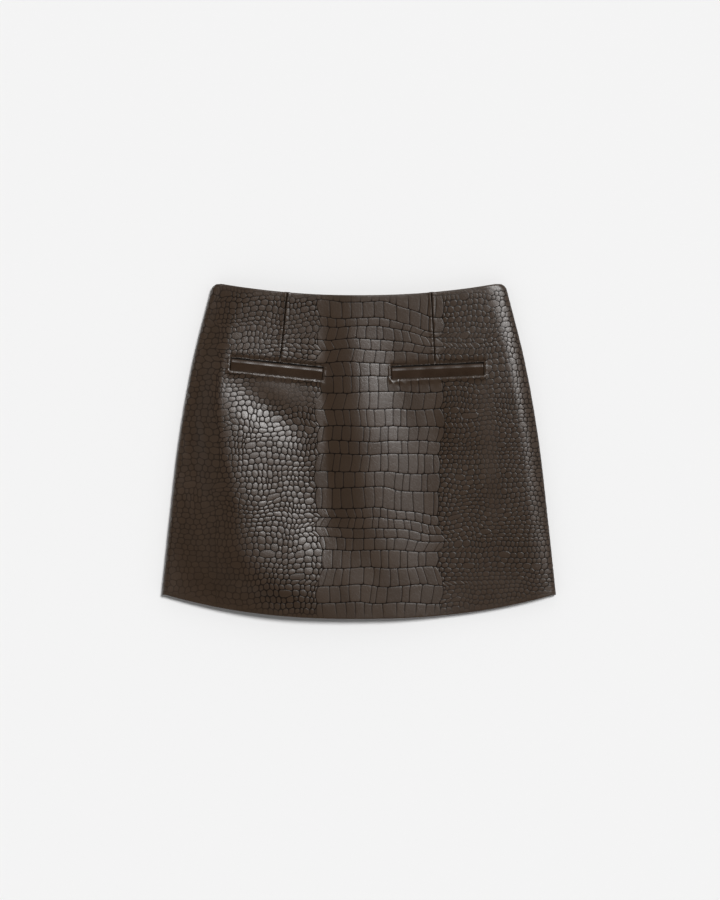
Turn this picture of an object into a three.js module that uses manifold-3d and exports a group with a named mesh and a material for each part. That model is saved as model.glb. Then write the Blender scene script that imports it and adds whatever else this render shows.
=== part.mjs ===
// A leather mini skirt, laid flat on a table with its front up, in millimetres.
// +Z is up, the waist points to +Y, and the origin is on the table under the middle of the skirt.
// The front lies on the two back pieces, and the pieces meet at the side folds and the centre back seam.
import * as THREE from "three";
import { mergeVertices } from "three/addons/utils/BufferGeometryUtils.js";
import Module from "manifold-3d";

const wasm = await Module();
wasm.setup();

// The laid-flat outline: the waist dips and the hem bows down, so both are arcs across the skirt
const WAIST_CENTRE_Y = 187;
const WAIST_CORNER_RISE = 14.6;
const WAIST_POWER = 2.1;
const HEM_CENTRE_Y = -201.6;
const HEM_CORNER_RISE = 30;
const HEM_POWER = 2.35;
const SIDE_LENGTH = WAIST_CENTRE_Y + WAIST_CORNER_RISE - HEM_CENTRE_Y - HEM_CORNER_RISE;

// Half widths down the side fold; down is the share of the way from waist to hem
const OUTLINE = [
  { down: 0, half: 176 },
  { down: 0.25, half: 199.5 },
  { down: 0.5, half: 216 },
  { down: 0.75, half: 227 },
  { down: 1, half: 237 },
];
const WAIST_CORNER_RADIUS = 7;

// The leather wall, doubled where the waist and the hem are turned in
const LEATHER = 1.4;
const TURNED_LEATHER = 2.6;
const WAIST_TURN = 24;
const HEM_TURN = 30;
const TURN_STEP = 3;
const EDGE_CHAMFER = 0.8;
const SEAM_GAP = 0.3;

// The side folds: the back rolls up and the front rolls down to meet it
const BACK_ROLL = 4.5;
const FRONT_ROLL = 5;
const FRONT_SEAM_Z = BACK_ROLL + SEAM_GAP;
const FRONT_EDGE_Z = FRONT_SEAM_Z + FRONT_ROLL;

// The front's crests and dips from left to right, a row for each section across the skirt.
// Each pair is a place across and the height of the outer face over the table.
const SECTIONS = [
  { down: 0, hip: [-110, 11], valley: [-30, 10.6], ridge: [8, 11.6], flat: [75, 10.6], side: [140, 10.8] },
  { down: 0.12, hip: [-150, 15], valley: [-34, 11.8], ridge: [2, 15], flat: [75, 12.2], side: [150, 12.6] },
  { down: 0.34, hip: [-172, 20], valley: [-28, 11.6], ridge: [4, 16.8], flat: [70, 12], side: [180, 14.6] },
  { down: 0.5, hip: [-156, 23], valley: [-24, 11.2], ridge: [8, 17.2], flat: [80, 11.4], side: [184, 15] },
  { down: 0.68, hip: [-142, 23], valley: [-20, 11.6], ridge: [14, 16.2], flat: [85, 11.2], side: [186, 14.6] },
  { down: 0.86, hip: [-115, 20], valley: [-5, 16], ridge: [24, 16.2], flat: [100, 11.6], side: [188, 12.6] },
  { down: 1, hip: [-70, 16.2], valley: [-5, 16], ridge: [30, 15.6], flat: [120, 12], side: [190, 11.4] },
];
const CREST_NAMES = ["hip", "valley", "ridge", "flat", "side"];

// The two front darts and the welt pockets under them; x and y are the middle of a pocket's mouth
const DARTS = [
  { topX: -86, footX: -94.7, footY: 107.5 },
  { topX: 86.8, footX: 91.2, footY: 104.8 },
];
const POCKETS = [
  { side: "left", x: -97.9, y: 106.6, tilt: -6 },
  { side: "right", x: 93.9, y: 104.2, tilt: 2.6 },
];
const BACK_DARTS = [
  { topX: -78, footX: -84, footY: 95 },
  { topX: 78, footX: 84, footY: 95 },
];
const POCKET_LENGTH = 111;
const WINDOW_DEPTH = 15.2;
const GROOVE_HALF_WIDTH = 0.8;
const FRONT_GROOVE_DEPTH = 1;
const BACK_GROOVE_DEPTH = 0.7;

// A folded welt fills each window. The profile runs down the pocket: from is the way below the mouth,
// and deep is the way under the panel's outer face.
const WELT_PROFILE = [
  { from: 0.9, deep: 1.4 },
  { from: 1.1, deep: 0.5 },
  { from: 1.9, deep: 0.1 },
  { from: 2.9, deep: 0.1 },
  { from: 8, deep: 0.7 },
  { from: 13.6, deep: 1.4 },
  { from: 15, deep: 1.8 },
  { from: 21, deep: 1.8 },
  { from: 21, deep: 3 },
  { from: 13, deep: 3 },
  { from: 2.4, deep: 2.6 },
];
// The pocket's facing closes the mouth from behind
const FACING_PROFILE = [
  { from: -8, deep: 1.8 },
  { from: -0.4, deep: 1.8 },
  { from: 1.4, deep: 3.2 },
  { from: 13, deep: 3.4 },
  { from: 13, deep: 4.4 },
  { from: 0.8, deep: 4.2 },
  { from: -1, deep: 2.8 },
  { from: -8, deep: 2.8 },
];

const FACING_PAST_WINDOW = 3;

// The concealed zip in the centre back seam: tape and coil inside, slider through the seam, tab outside
const ZIP_LENGTH = 180;
const ZIP_FROM_WAIST = 8;
const TAPE_HALF_WIDTH = 12;
const TAPE_THICK = 0.8;
const COIL_HALF_WIDTH = 1.6;
const COIL_HEIGHT = 1.2;
const SLIDER_FROM_WAIST = 12;
const SLIDER_LENGTH = 9;
const SLIDER_HALF_WIDTH = 3;
const SLIDER_HEIGHT = 2;
const SEAM_NOTCH_LENGTH = 6;
const SEAM_NOTCH_CLEAR = 0.5;
const NECK_LENGTH = 2.4;
const NECK_HEIGHT = 1.2;
const EAR_HALF_WIDTH = 1.9;
const EAR_INNER = 1.25;
const EAR_LENGTH = 1.8;
const EAR_BELOW_PIN = 0.65;
const PIN_Z = 1;
const PIN_RADIUS = 0.32;
const PIN_SIDES = 16;
const EYE_HOLE_RADIUS = 0.5;
const EYE_RADIUS = 0.85;
const EYE_HALF_LENGTH = 1;
const TAB_LENGTH = 24;
const TAB_THICK = 0.8;
const TAB_TOP_HALF_WIDTH = 1;
const TAB_END_HALF_WIDTH = 2.6;
// The tab lies in a dimple, so the underside stays flat on the table
const DIMPLE_HEIGHT = 1.6;
const DIMPLE_HALF_WIDTH = 3.4;
const DIMPLE_SLOPE = 7;
const DIMPLE_BEYOND_TAB = 3;

// How finely the walls are divided
const ROLL_STEPS = 4;
const FRONT_COLUMNS = 44;
const FRONT_ROWS = 26;
const BACK_COLUMNS = 12;
const BACK_ROWS = 18;
const POCKET_STEPS = 16;
const GROOVE_STEPS = 12;
// How far a cutting block reaches past what it cuts
const CUT_REACH = 20;

const brown = { leather: 0x3b3028, welt: 0x352a22, facing: 0x2c231d, tape: 0x2a221c, metal: 0x5a4a38 };
const leather = () => new THREE.MeshStandardMaterial({ color: brown.leather, roughness: 0.42, metalness: 0 });
const weltLeather = () => new THREE.MeshStandardMaterial({ color: brown.welt, roughness: 0.4, metalness: 0 });
const facingLeather = () => new THREE.MeshStandardMaterial({ color: brown.facing, roughness: 0.5, metalness: 0 });
const zipTape = () => new THREE.MeshStandardMaterial({ color: brown.tape, roughness: 0.85, metalness: 0 });
const zipMetal = () => new THREE.MeshStandardMaterial({ color: brown.metal, roughness: 0.35, metalness: 0.8 });

const clamp = (x, low, high) => Math.min(high, Math.max(low, x));
const mix = (a, b, t) => a + (b - a) * t;
const ease = (t) => t * t * (3 - 2 * t);

// A smooth curve through the values that read takes from a table's rows, by their down column
function valueAt(rows, read, down) {
  const last = rows.length - 1;
  let i = 0;
  while (i < last - 1 && down > rows[i + 1].down) i += 1;
  const slope = (k) => {
    const before = rows[Math.max(k - 1, 0)];
    const after = rows[Math.min(k + 1, last)];
    return (read(after) - read(before)) / (after.down - before.down);
  };
  const span = rows[i + 1].down - rows[i].down;
  const t = clamp((down - rows[i].down) / span, 0, 1);
  const from = read(rows[i]);
  const rise = read(rows[i + 1]) - from;
  return (
    from +
    rise * ease(t) +
    span * (slope(i) * t * (1 - t) ** 2 - slope(i + 1) * t * t * (1 - t))
  );
}

// Half the skirt's width, with the waist corners rounded off
function halfWidth(down) {
  const toCorner = clamp(1 - (down * SIDE_LENGTH) / WAIST_CORNER_RADIUS, 0, 1);
  const rounding = WAIST_CORNER_RADIUS * (1 - Math.sqrt(1 - toCorner ** 2));
  return valueAt(OUTLINE, (row) => row.half, down) - rounding;
}

// The place along Y of a point at share of the half width, down from waist to hem
function alongY(share, down) {
  const top = WAIST_CENTRE_Y + WAIST_CORNER_RISE * Math.abs(share) ** WAIST_POWER;
  const bottom = HEM_CENTRE_Y + HEM_CORNER_RISE * Math.abs(share) ** HEM_POWER;
  return mix(top, bottom, down);
}

// How far down from waist to hem a point of the plan lies
function downAt(x, y) {
  let down = 0.5;
  for (let round = 0; round < 6; round += 1) {
    const share = clamp(x / halfWidth(down), -1, 1);
    const top = alongY(share, 0);
    down = clamp((top - y) / (top - alongY(share, 1)), 0, 1);
  }
  return down;
}

// Height of the front's outer face between its side rolls: smooth waves through the section's crests
function frontHeight(x, down) {
  const edge = halfWidth(down) - FRONT_ROLL;
  const crests = [
    { x: -edge, z: FRONT_EDGE_Z },
    ...CREST_NAMES.map((name) => ({
      x: valueAt(SECTIONS, (row) => row[name][0], down),
      z: valueAt(SECTIONS, (row) => row[name][1], down),
    })),
    { x: edge, z: FRONT_EDGE_Z },
  ];
  let i = 0;
  while (i < crests.length - 2 && x > crests[i + 1].x) i += 1;
  const t = clamp((x - crests[i].x) / (crests[i + 1].x - crests[i].x), 0, 1);
  return mix(crests[i].z, crests[i + 1].z, ease(t));
}

// The wall's thickness, doubled over the turned waist and hem
function wallAt(down) {
  const fromWaist = down * SIDE_LENGTH;
  const fromHem = (1 - down) * SIDE_LENGTH;
  const inTurn = Math.max(
    clamp((WAIST_TURN - fromWaist) / TURN_STEP, 0, 1),
    clamp((HEM_TURN - fromHem) / TURN_STEP, 0, 1),
  );
  return mix(LEATHER, TURNED_LEATHER, inTurn);
}

// How far a face is cut back at the waist and hem edges, so the edges are softened
function edgeEase(down) {
  const toEnd = Math.min(down, 1 - down) * SIDE_LENGTH;
  return EDGE_CHAMFER * clamp(1 - toEnd / EDGE_CHAMFER, 0, 1);
}

// A point of the front wall. across is a place in frontAcross(); deep is the way in from the outer face.
function frontPoint(across, down, deep) {
  const half = halfWidth(down);
  const flat = half - FRONT_ROLL;
  if (across.roll) {
    const radius = FRONT_ROLL - deep;
    const x = across.side * (flat + radius * Math.cos(across.angle));
    const z = FRONT_SEAM_Z + radius * Math.sin(across.angle);
    return new THREE.Vector3(x, alongY(clamp(x / half, -1, 1), down), z);
  }
  const x = across.share * flat;
  return frontPointOver(x, alongY(x / half, down), down, deep);
}

// A point under the front's outer face, moved in square to the face
function frontPointOver(x, y, down, deep) {
  const step = 1;
  const near = step / SIDE_LENGTH;
  const slopeX = (frontHeight(x + step, down) - frontHeight(x - step, down)) / (2 * step);
  const rise = frontHeight(x, clamp(down - near, 0, 1)) - frontHeight(x, clamp(down + near, 0, 1));
  const slopeY = rise / (2 * step);
  const inward = new THREE.Vector3(slopeX, slopeY, -1).normalize();
  return new THREE.Vector3(x, y, frontHeight(x, down)).addScaledVector(inward, deep);
}

// A point under the front's outer face by its place on the plan, for what is set into the panel
function frontPointAt(x, y, deep) {
  return frontPointOver(x, y, downAt(x, y), deep);
}

// Columns across the front, from the left seam over the panel to the right seam
function frontAcross() {
  const columns = [];
  for (let i = 0; i < ROLL_STEPS; i += 1) {
    columns.push({ roll: true, side: -1, angle: ((i / ROLL_STEPS) * Math.PI) / 2 });
  }
  for (let i = 0; i <= FRONT_COLUMNS; i += 1) {
    columns.push({ share: mix(-1, 1, i / FRONT_COLUMNS) });
  }
  for (let i = ROLL_STEPS - 1; i >= 0; i -= 1) {
    columns.push({ roll: true, side: 1, angle: ((i / ROLL_STEPS) * Math.PI) / 2 });
  }
  return columns;
}

// Rows from waist to hem, closer together at the edges and where the turned allowances end
function rowsDown(count) {
  const ends = [0, EDGE_CHAMFER, WAIST_CORNER_RADIUS * 0.4, WAIST_CORNER_RADIUS];
  const waist = [...ends, WAIST_TURN - TURN_STEP, WAIST_TURN];
  const hem = [HEM_TURN, HEM_TURN - TURN_STEP, EDGE_CHAMFER, 0].map((d) => SIDE_LENGTH - d);
  const first = WAIST_TURN;
  const last = SIDE_LENGTH - HEM_TURN;
  const between = Array.from({ length: count - 1 }, (_, i) => mix(first, last, (i + 1) / count));
  return [...waist, ...between, ...hem].map((d) => d / SIDE_LENGTH);
}

// A closed wall from two grids of points: the outer face and, under it, the inner face
function wallGeometry(outer, inner) {
  const rows = outer.length;
  const columns = outer[0].length;
  const points = [...outer.flat(), ...inner.flat()];
  const at = (layer, row, column) => layer * rows * columns + row * columns + column;
  const index = [];
  const quad = (a, b, c, d) => index.push(a, b, c, a, c, d);
  for (let r = 0; r < rows - 1; r += 1) {
    for (let c = 0; c < columns - 1; c += 1) {
      quad(at(0, r, c), at(0, r + 1, c), at(0, r + 1, c + 1), at(0, r, c + 1));
      quad(at(1, r, c), at(1, r, c + 1), at(1, r + 1, c + 1), at(1, r + 1, c));
    }
  }
  for (let r = 0; r < rows - 1; r += 1) {
    quad(at(0, r, 0), at(1, r, 0), at(1, r + 1, 0), at(0, r + 1, 0));
    quad(at(0, r + 1, columns - 1), at(1, r + 1, columns - 1), at(1, r, columns - 1), at(0, r, columns - 1));
  }
  for (let c = 0; c < columns - 1; c += 1) {
    quad(at(0, 0, c + 1), at(1, 0, c + 1), at(1, 0, c), at(0, 0, c));
    quad(at(0, rows - 1, c), at(1, rows - 1, c), at(1, rows - 1, c + 1), at(0, rows - 1, c + 1));
  }
  const geometry = new THREE.BufferGeometry().setFromPoints(points);
  geometry.setIndex(index);
  return geometry;
}

// A closed bar from rings of points of equal count, ring after ring, with flat ends
function barGeometry(rings) {
  const around = rings[0].length;
  const points = rings.flat();
  const index = [];
  for (let r = 0; r < rings.length - 1; r += 1) {
    for (let i = 0; i < around; i += 1) {
      const a = r * around + i;
      const b = r * around + ((i + 1) % around);
      index.push(a, b, b + around, a, b + around, a + around);
    }
  }
  const contour = rings[0].map((p) => new THREE.Vector2(p.y, p.z));
  const clockwise = THREE.ShapeUtils.isClockWise(contour);
  const lastRing = (rings.length - 1) * around;
  for (const face of THREE.ShapeUtils.triangulateShape(contour, [])) {
    const [a, b, c] = clockwise ? [...face].reverse() : face;
    index.push(c, b, a, lastRing + a, lastRing + b, lastRing + c);
  }
  const geometry = new THREE.BufferGeometry().setFromPoints(points);
  geometry.setIndex(index);
  return geometry;
}

// A three.js geometry as a solid that can be cut and joined, with its faces turned outward
function solidFrom(geometry) {
  const bare = geometry.clone();
  bare.deleteAttribute("normal");
  bare.deleteAttribute("uv");
  const merged = mergeVertices(bare, 1e-3);
  const triVerts = new Uint32Array(merged.index.array);
  const vertProperties = new Float32Array(merged.attributes.position.array);
  const solid = new wasm.Manifold(new wasm.Mesh({ numProp: 3, vertProperties, triVerts }));
  if (solid.volume() > 0) return solid;
  for (let i = 0; i < triVerts.length; i += 3) {
    [triVerts[i + 1], triVerts[i + 2]] = [triVerts[i + 2], triVerts[i + 1]];
  }
  return new wasm.Manifold(new wasm.Mesh({ numProp: 3, vertProperties, triVerts }));
}

function geometryFrom(solid) {
  const { vertProperties, triVerts } = solid.getMesh();
  const geometry = new THREE.BufferGeometry();
  geometry.setAttribute("position", new THREE.BufferAttribute(vertProperties, 3));
  geometry.setIndex(new THREE.BufferAttribute(triVerts, 1));
  return geometry;
}

function piece(name, solid, material) {
  const mesh = new THREE.Mesh(geometryFrom(solid), material);
  mesh.name = name;
  return mesh;
}

// A V groove along a dart, on whichever face pointAt gives
function grooveSolid(dart, pointAt, depth) {
  const proud = 0.6;
  const pastEdge = 1;
  const footShare = 0.6;
  const topY = alongY(dart.topX / OUTLINE[0].half, 0) + pastEdge;
  const rings = [];
  for (let i = 0; i <= GROOVE_STEPS; i += 1) {
    const t = i / GROOVE_STEPS;
    const x = mix(dart.topX, dart.footX, t);
    const y = mix(topY, dart.footY, t);
    const half = GROOVE_HALF_WIDTH * mix(1, footShare, t);
    rings.push([
      pointAt(x - half, y, 0),
      pointAt(x - half, y, -proud),
      pointAt(x + half, y, -proud),
      pointAt(x + half, y, 0),
      pointAt(x, y, depth),
    ]);
  }
  return solidFrom(ringsAlongY(rings));
}

// Like barGeometry, for rings that stand across Y
function ringsAlongY(rings) {
  const turned = rings.map((ring) => ring.map((p) => new THREE.Vector3(-p.y, p.x, p.z)));
  const geometry = barGeometry(turned);
  return geometry.applyMatrix4(new THREE.Matrix4().makeRotationZ(-Math.PI / 2));
}

// The place on the plan of a point of a pocket: along its mouth, and down from the mouth
function pocketPlace(pocket, along, from) {
  const tilt = THREE.MathUtils.degToRad(pocket.tilt);
  return {
    x: pocket.x + along * Math.cos(tilt) + from * Math.sin(tilt),
    y: pocket.y + along * Math.sin(tilt) - from * Math.cos(tilt),
  };
}

// A strip set into the panel: a profile carried along the pocket under the panel's outer face
function pocketStrip(pocket, profile, length) {
  const rings = [];
  for (let i = 0; i <= POCKET_STEPS; i += 1) {
    const along = mix(-length / 2, length / 2, i / POCKET_STEPS);
    rings.push(
      profile.map(({ from, deep }) => {
        const { x, y } = pocketPlace(pocket, along, from);
        return frontPointAt(x, y, deep);
      }),
    );
  }
  return solidFrom(barGeometry(rings));
}

// The window that a pocket is cut through, as an upright block
function windowSolid(pocket) {
  const block = new THREE.BoxGeometry(POCKET_LENGTH, WINDOW_DEPTH, 2 * CUT_REACH);
  const centre = pocketPlace(pocket, 0, WINDOW_DEPTH / 2);
  block.rotateZ(THREE.MathUtils.degToRad(pocket.tilt));
  block.translate(centre.x, centre.y, FRONT_EDGE_Z);
  return solidFrom(block);
}

// The front: one piece of leather, with its darts pressed in and its pocket windows cut out
function frontPanel() {
  const across = frontAcross();
  const rows = rowsDown(FRONT_ROWS);
  const row = (down, deep) => across.map((place) => frontPoint(place, down, deep));
  const outer = rows.map((down) => row(down, edgeEase(down)));
  const inner = rows.map((down) => row(down, wallAt(down) - edgeEase(down)));
  let panel = solidFrom(wallGeometry(outer, inner));
  for (const dart of DARTS) {
    panel = panel.subtract(grooveSolid(dart, frontPointAt, FRONT_GROOVE_DEPTH));
  }
  for (const pocket of POCKETS) {
    panel = panel.subtract(windowSolid(pocket));
  }
  return panel;
}

// How far the back's underside is lifted over the zip's tab
function dimpleAt(x, y) {
  const middle = WAIST_CENTRE_Y - SLIDER_FROM_WAIST - TAB_LENGTH / 2;
  const outX = Math.max(Math.abs(x) - DIMPLE_HALF_WIDTH, 0);
  const outY = Math.max(Math.abs(y - middle) - TAB_LENGTH / 2 - DIMPLE_BEYOND_TAB, 0);
  const away = Math.hypot(outX, outY) / DIMPLE_SLOPE;
  return DIMPLE_HEIGHT * (1 - ease(clamp(away, 0, 1)));
}

// A point of the back wall, up from its outer face, which lies on the table
function backPointAt(x, y, up) {
  return new THREE.Vector3(x, y, dimpleAt(x, y) + up);
}

// Columns across half of the back, from the centre seam out to the side roll
function backAcross() {
  const slope = [0, 0.5, 1].map((share) => DIMPLE_HALF_WIDTH + share * DIMPLE_SLOPE);
  const columns = [0, ...slope].map((fromSeam) => ({ fromSeam }));
  for (let i = 1; i <= BACK_COLUMNS; i += 1) {
    columns.push({ share: i / BACK_COLUMNS });
  }
  for (let i = ROLL_STEPS - 1; i >= 0; i -= 1) {
    columns.push({ roll: true, angle: ((i / ROLL_STEPS) * Math.PI) / 2 });
  }
  return columns;
}

function backPoint(side, column, down, up) {
  const half = halfWidth(down);
  const flat = half - BACK_ROLL;
  if (column.roll) {
    const radius = BACK_ROLL - up;
    const x = flat + radius * Math.cos(column.angle);
    const z = BACK_ROLL - radius * Math.sin(column.angle);
    return new THREE.Vector3(side * x, alongY(clamp(x / half, -1, 1), down), z);
  }
  const start = SEAM_GAP / 2;
  const dimpleEdge = start + DIMPLE_HALF_WIDTH + DIMPLE_SLOPE;
  const inDimple = column.share === undefined;
  const x = inDimple ? start + column.fromSeam : mix(dimpleEdge, flat, column.share);
  return backPointAt(side * x, alongY(x / half, down), up);
}

// Rows of the back, with extra ones round the dimple
function backRows() {
  const top = WAIST_CENTRE_Y - HEM_CENTRE_Y;
  const dimpleTop = SLIDER_FROM_WAIST - DIMPLE_BEYOND_TAB;
  const dimpleFoot = SLIDER_FROM_WAIST + TAB_LENGTH + DIMPLE_BEYOND_TAB;
  const extra = [dimpleTop - DIMPLE_SLOPE / 2, dimpleTop, dimpleFoot, dimpleFoot + DIMPLE_SLOPE / 2];
  const extraDown = [...extra, dimpleFoot + DIMPLE_SLOPE].map((d) => d / top);
  return [...rowsDown(BACK_ROWS), ...extraDown].sort((a, b) => a - b);
}

// Half of the back: flat on the table, with a dart and a notch at the seam for the slider's neck
function backPanel(side) {
  const columns = backAcross();
  const rows = backRows();
  const row = (down, up) => columns.map((column) => backPoint(side, column, down, up));
  const outer = rows.map((down) => row(down, edgeEase(down)));
  const inner = rows.map((down) => row(down, wallAt(down) - edgeEase(down)));
  let panel = solidFrom(wallGeometry(outer, inner));
  for (const dart of BACK_DARTS.filter((d) => Math.sign(d.topX) === side)) {
    panel = panel.subtract(grooveSolid(dart, backPointAt, BACK_GROOVE_DEPTH));
  }
  return panel.subtract(notchSolid());
}

function boxSolid(width, depth, height, x, y, z) {
  return solidFrom(new THREE.BoxGeometry(width, depth, height).translate(x, y, z));
}

// Where the slider's neck and the tab's eye pass through the seam
const SLIDER_Y = WAIST_CENTRE_Y - SLIDER_FROM_WAIST;
const BACK_INNER_Z = DIMPLE_HEIGHT + TURNED_LEATHER;
const TAPE_Z = BACK_INNER_Z + SEAM_GAP;

function notchSolid() {
  const width = 2 * (EAR_HALF_WIDTH + SEAM_NOTCH_CLEAR);
  return boxSolid(width, SEAM_NOTCH_LENGTH, CUT_REACH, 0, SLIDER_Y, BACK_INNER_Z);
}

// The zip's tape lies on the inside of the back, with the closed coil along its middle
function zipTapeAndCoil() {
  const top = WAIST_CENTRE_Y - ZIP_FROM_WAIST;
  const foot = top - ZIP_LENGTH;
  const between = backRows().map((down) => alongY(0, down)).filter((y) => y < top - 1 && y > foot + 1);
  const section = [
    { x: -TAPE_HALF_WIDTH, up: 0 },
    { x: -DIMPLE_HALF_WIDTH, up: 0 },
    { x: 0, up: 0 },
    { x: DIMPLE_HALF_WIDTH, up: 0 },
    { x: TAPE_HALF_WIDTH, up: 0 },
    { x: TAPE_HALF_WIDTH, up: TAPE_THICK },
    { x: COIL_HALF_WIDTH, up: TAPE_THICK },
    { x: COIL_HALF_WIDTH, up: TAPE_THICK + COIL_HEIGHT },
    { x: -COIL_HALF_WIDTH, up: TAPE_THICK + COIL_HEIGHT },
    { x: -COIL_HALF_WIDTH, up: TAPE_THICK },
    { x: -TAPE_HALF_WIDTH, up: TAPE_THICK },
  ];
  const rings = [top, ...between, foot].map((y) => {
    const wall = wallAt((WAIST_CENTRE_Y - y) / (WAIST_CENTRE_Y - HEM_CENTRE_Y));
    const lift = (x) => dimpleAt(x, y) + wall + SEAM_GAP;
    return section.map(({ x, up }) => new THREE.Vector3(x, y, lift(x) + up));
  });
  const roomWidth = 2 * (SLIDER_HALF_WIDTH + SEAM_GAP);
  const roomLength = SLIDER_LENGTH + 2 * SEAM_GAP;
  const roomZ = TAPE_Z - 1 + CUT_REACH / 2;
  const room = boxSolid(roomWidth, roomLength, CUT_REACH, 0, SLIDER_Y, roomZ);
  return solidFrom(ringsAlongY(rings)).subtract(room);
}

// A round bar along X
function barAlongX(radius, length, y, z) {
  const bar = new THREE.CylinderGeometry(radius, radius, length, PIN_SIDES);
  return solidFrom(bar.rotateZ(Math.PI / 2).translate(0, y, z));
}

// The slider: a body on the coil, a neck down through the seam, and two ears that hold the tab's pin
function zipSlider() {
  const bodyZ = TAPE_Z + SLIDER_HEIGHT / 2;
  const body = boxSolid(2 * SLIDER_HALF_WIDTH, SLIDER_LENGTH, SLIDER_HEIGHT, 0, SLIDER_Y, bodyZ);
  const neckZ = TAPE_Z + NECK_HEIGHT / 10 - NECK_HEIGHT / 2;
  const neck = boxSolid(2 * EAR_HALF_WIDTH, NECK_LENGTH, NECK_HEIGHT, 0, SLIDER_Y, neckZ);
  const pin = barAlongX(PIN_RADIUS, EAR_HALF_WIDTH + EAR_INNER, SLIDER_Y, PIN_Z);
  const earFoot = PIN_Z - EAR_BELOW_PIN;
  const earHeight = TAPE_Z - earFoot;
  const earWidth = EAR_HALF_WIDTH - EAR_INNER;
  const earX = (EAR_HALF_WIDTH + EAR_INNER) / 2;
  const ears = [-earX, earX].map((x) =>
    boxSolid(earWidth, EAR_LENGTH, earHeight, x, SLIDER_Y, earFoot + earHeight / 2),
  );
  return body.add(neck).add(ears[0]).add(ears[1]).add(pin);
}

// The tab: an eye round the slider's pin, and a drop-shaped plate that lies towards the hem
function zipTab() {
  const eye = barAlongX(EYE_RADIUS, 2 * EYE_HALF_LENGTH, SLIDER_Y, PIN_Z);
  const startY = -EYE_RADIUS * 0.6;
  const roundY = -TAB_LENGTH + TAB_END_HALF_WIDTH;
  const outline = new THREE.Shape();
  outline.moveTo(-TAB_TOP_HALF_WIDTH, startY);
  outline.lineTo(-TAB_END_HALF_WIDTH, roundY);
  outline.absarc(0, roundY, TAB_END_HALF_WIDTH, Math.PI, 2 * Math.PI, false);
  outline.lineTo(TAB_TOP_HALF_WIDTH, startY);
  const extrusion = { depth: TAB_THICK, bevelEnabled: false, curveSegments: 12 };
  const plate = new THREE.ExtrudeGeometry(outline, extrusion).translate(0, SLIDER_Y, SEAM_GAP);
  const hole = barAlongX(EYE_HOLE_RADIUS, CUT_REACH, SLIDER_Y, PIN_Z);
  return eye.add(solidFrom(plate)).subtract(hole);
}

const skirt = new THREE.Group();
skirt.add(piece("front_panel", frontPanel(), leather()));
skirt.add(piece("back_panel_left", backPanel(-1), leather()));
skirt.add(piece("back_panel_right", backPanel(1), leather()));
for (const pocket of POCKETS) {
  const welt = pocketStrip(pocket, WELT_PROFILE, POCKET_LENGTH - 2 * SEAM_GAP);
  const facing = pocketStrip(pocket, FACING_PROFILE, POCKET_LENGTH + 2 * FACING_PAST_WINDOW);
  skirt.add(piece("pocket_welt_" + pocket.side, welt, weltLeather()));
  skirt.add(piece("pocket_facing_" + pocket.side, facing, facingLeather()));
}
skirt.add(piece("zip_tape", zipTapeAndCoil(), zipTape()));
skirt.add(piece("zip_slider", zipSlider(), zipMetal()));
skirt.add(piece("zip_tab", zipTab(), zipMetal()));

export default skirt;
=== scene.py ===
import math
import random
import bmesh
import bpy
import numpy as np
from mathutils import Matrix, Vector
from mathutils.geometry import delaunay_2d_cdt


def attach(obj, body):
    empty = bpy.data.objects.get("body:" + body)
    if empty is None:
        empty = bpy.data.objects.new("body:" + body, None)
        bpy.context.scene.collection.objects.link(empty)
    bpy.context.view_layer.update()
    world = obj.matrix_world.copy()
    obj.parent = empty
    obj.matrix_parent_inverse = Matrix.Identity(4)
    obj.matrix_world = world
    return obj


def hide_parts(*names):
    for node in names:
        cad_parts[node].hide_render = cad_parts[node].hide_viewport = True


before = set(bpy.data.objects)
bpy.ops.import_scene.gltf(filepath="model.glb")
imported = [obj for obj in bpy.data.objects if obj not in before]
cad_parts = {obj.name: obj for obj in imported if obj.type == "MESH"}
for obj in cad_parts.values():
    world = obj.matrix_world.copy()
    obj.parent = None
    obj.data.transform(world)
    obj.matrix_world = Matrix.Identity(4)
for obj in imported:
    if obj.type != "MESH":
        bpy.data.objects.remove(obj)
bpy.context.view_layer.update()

# The camera looks straight down on the skirt, as for a cut-out picture. The picture is 720 by 900 pixels
# and a pixel is 1.2 mm on the table, so the frame takes in 1080 mm from top to bottom.
PIXEL = 0.0012
PICTURE_WIDTH, PICTURE_HEIGHT = 720, 900
SKIRT_MIDDLE_PIXEL = (359, 451)
CAMERA_HEIGHT = 3.0
LEATHER_LEVEL = 0.012
SENSOR = 36

camera_data = bpy.data.cameras.new("picture_camera")
camera_data.sensor_width = SENSOR
camera_data.lens = SENSOR * (CAMERA_HEIGHT - LEATHER_LEVEL) / (PIXEL * PICTURE_HEIGHT)
camera = bpy.data.objects.new("picture_camera", camera_data)
camera.location = (
    (PICTURE_WIDTH / 2 - SKIRT_MIDDLE_PIXEL[0]) * PIXEL,
    (SKIRT_MIDDLE_PIXEL[1] - PICTURE_HEIGHT / 2) * PIXEL,
    CAMERA_HEIGHT,
)
bpy.context.collection.objects.link(camera)
bpy.context.scene.camera = camera
bpy.context.scene.view_settings.view_transform = "Standard"

# The studio: a matt white table and a broad soft light from far off, high on the right past the waist, in
# a room with pale walls and a dark ceiling. The table takes shadows but casts none and is clear from below,
# so that a second light can reach the underside.
KEY_TURN, KEY_TILT = math.radians(46), math.radians(29)
KEY_BREADTH, KEY_STRENGTH = math.radians(18), 2.85
UNDER_TILT, UNDER_BREADTH, UNDER_STRENGTH = math.radians(205), math.radians(70), 2.2
ROOM_DIM, ROOM_BRIGHT = (0.04, 0.04, 0.04, 1), (0.62, 0.62, 0.62, 1)
TABLE_WHITE = (0.865, 0.865, 0.865, 1)
TABLE_HALF = 4
TABLE_GAP = 0.0004


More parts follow.
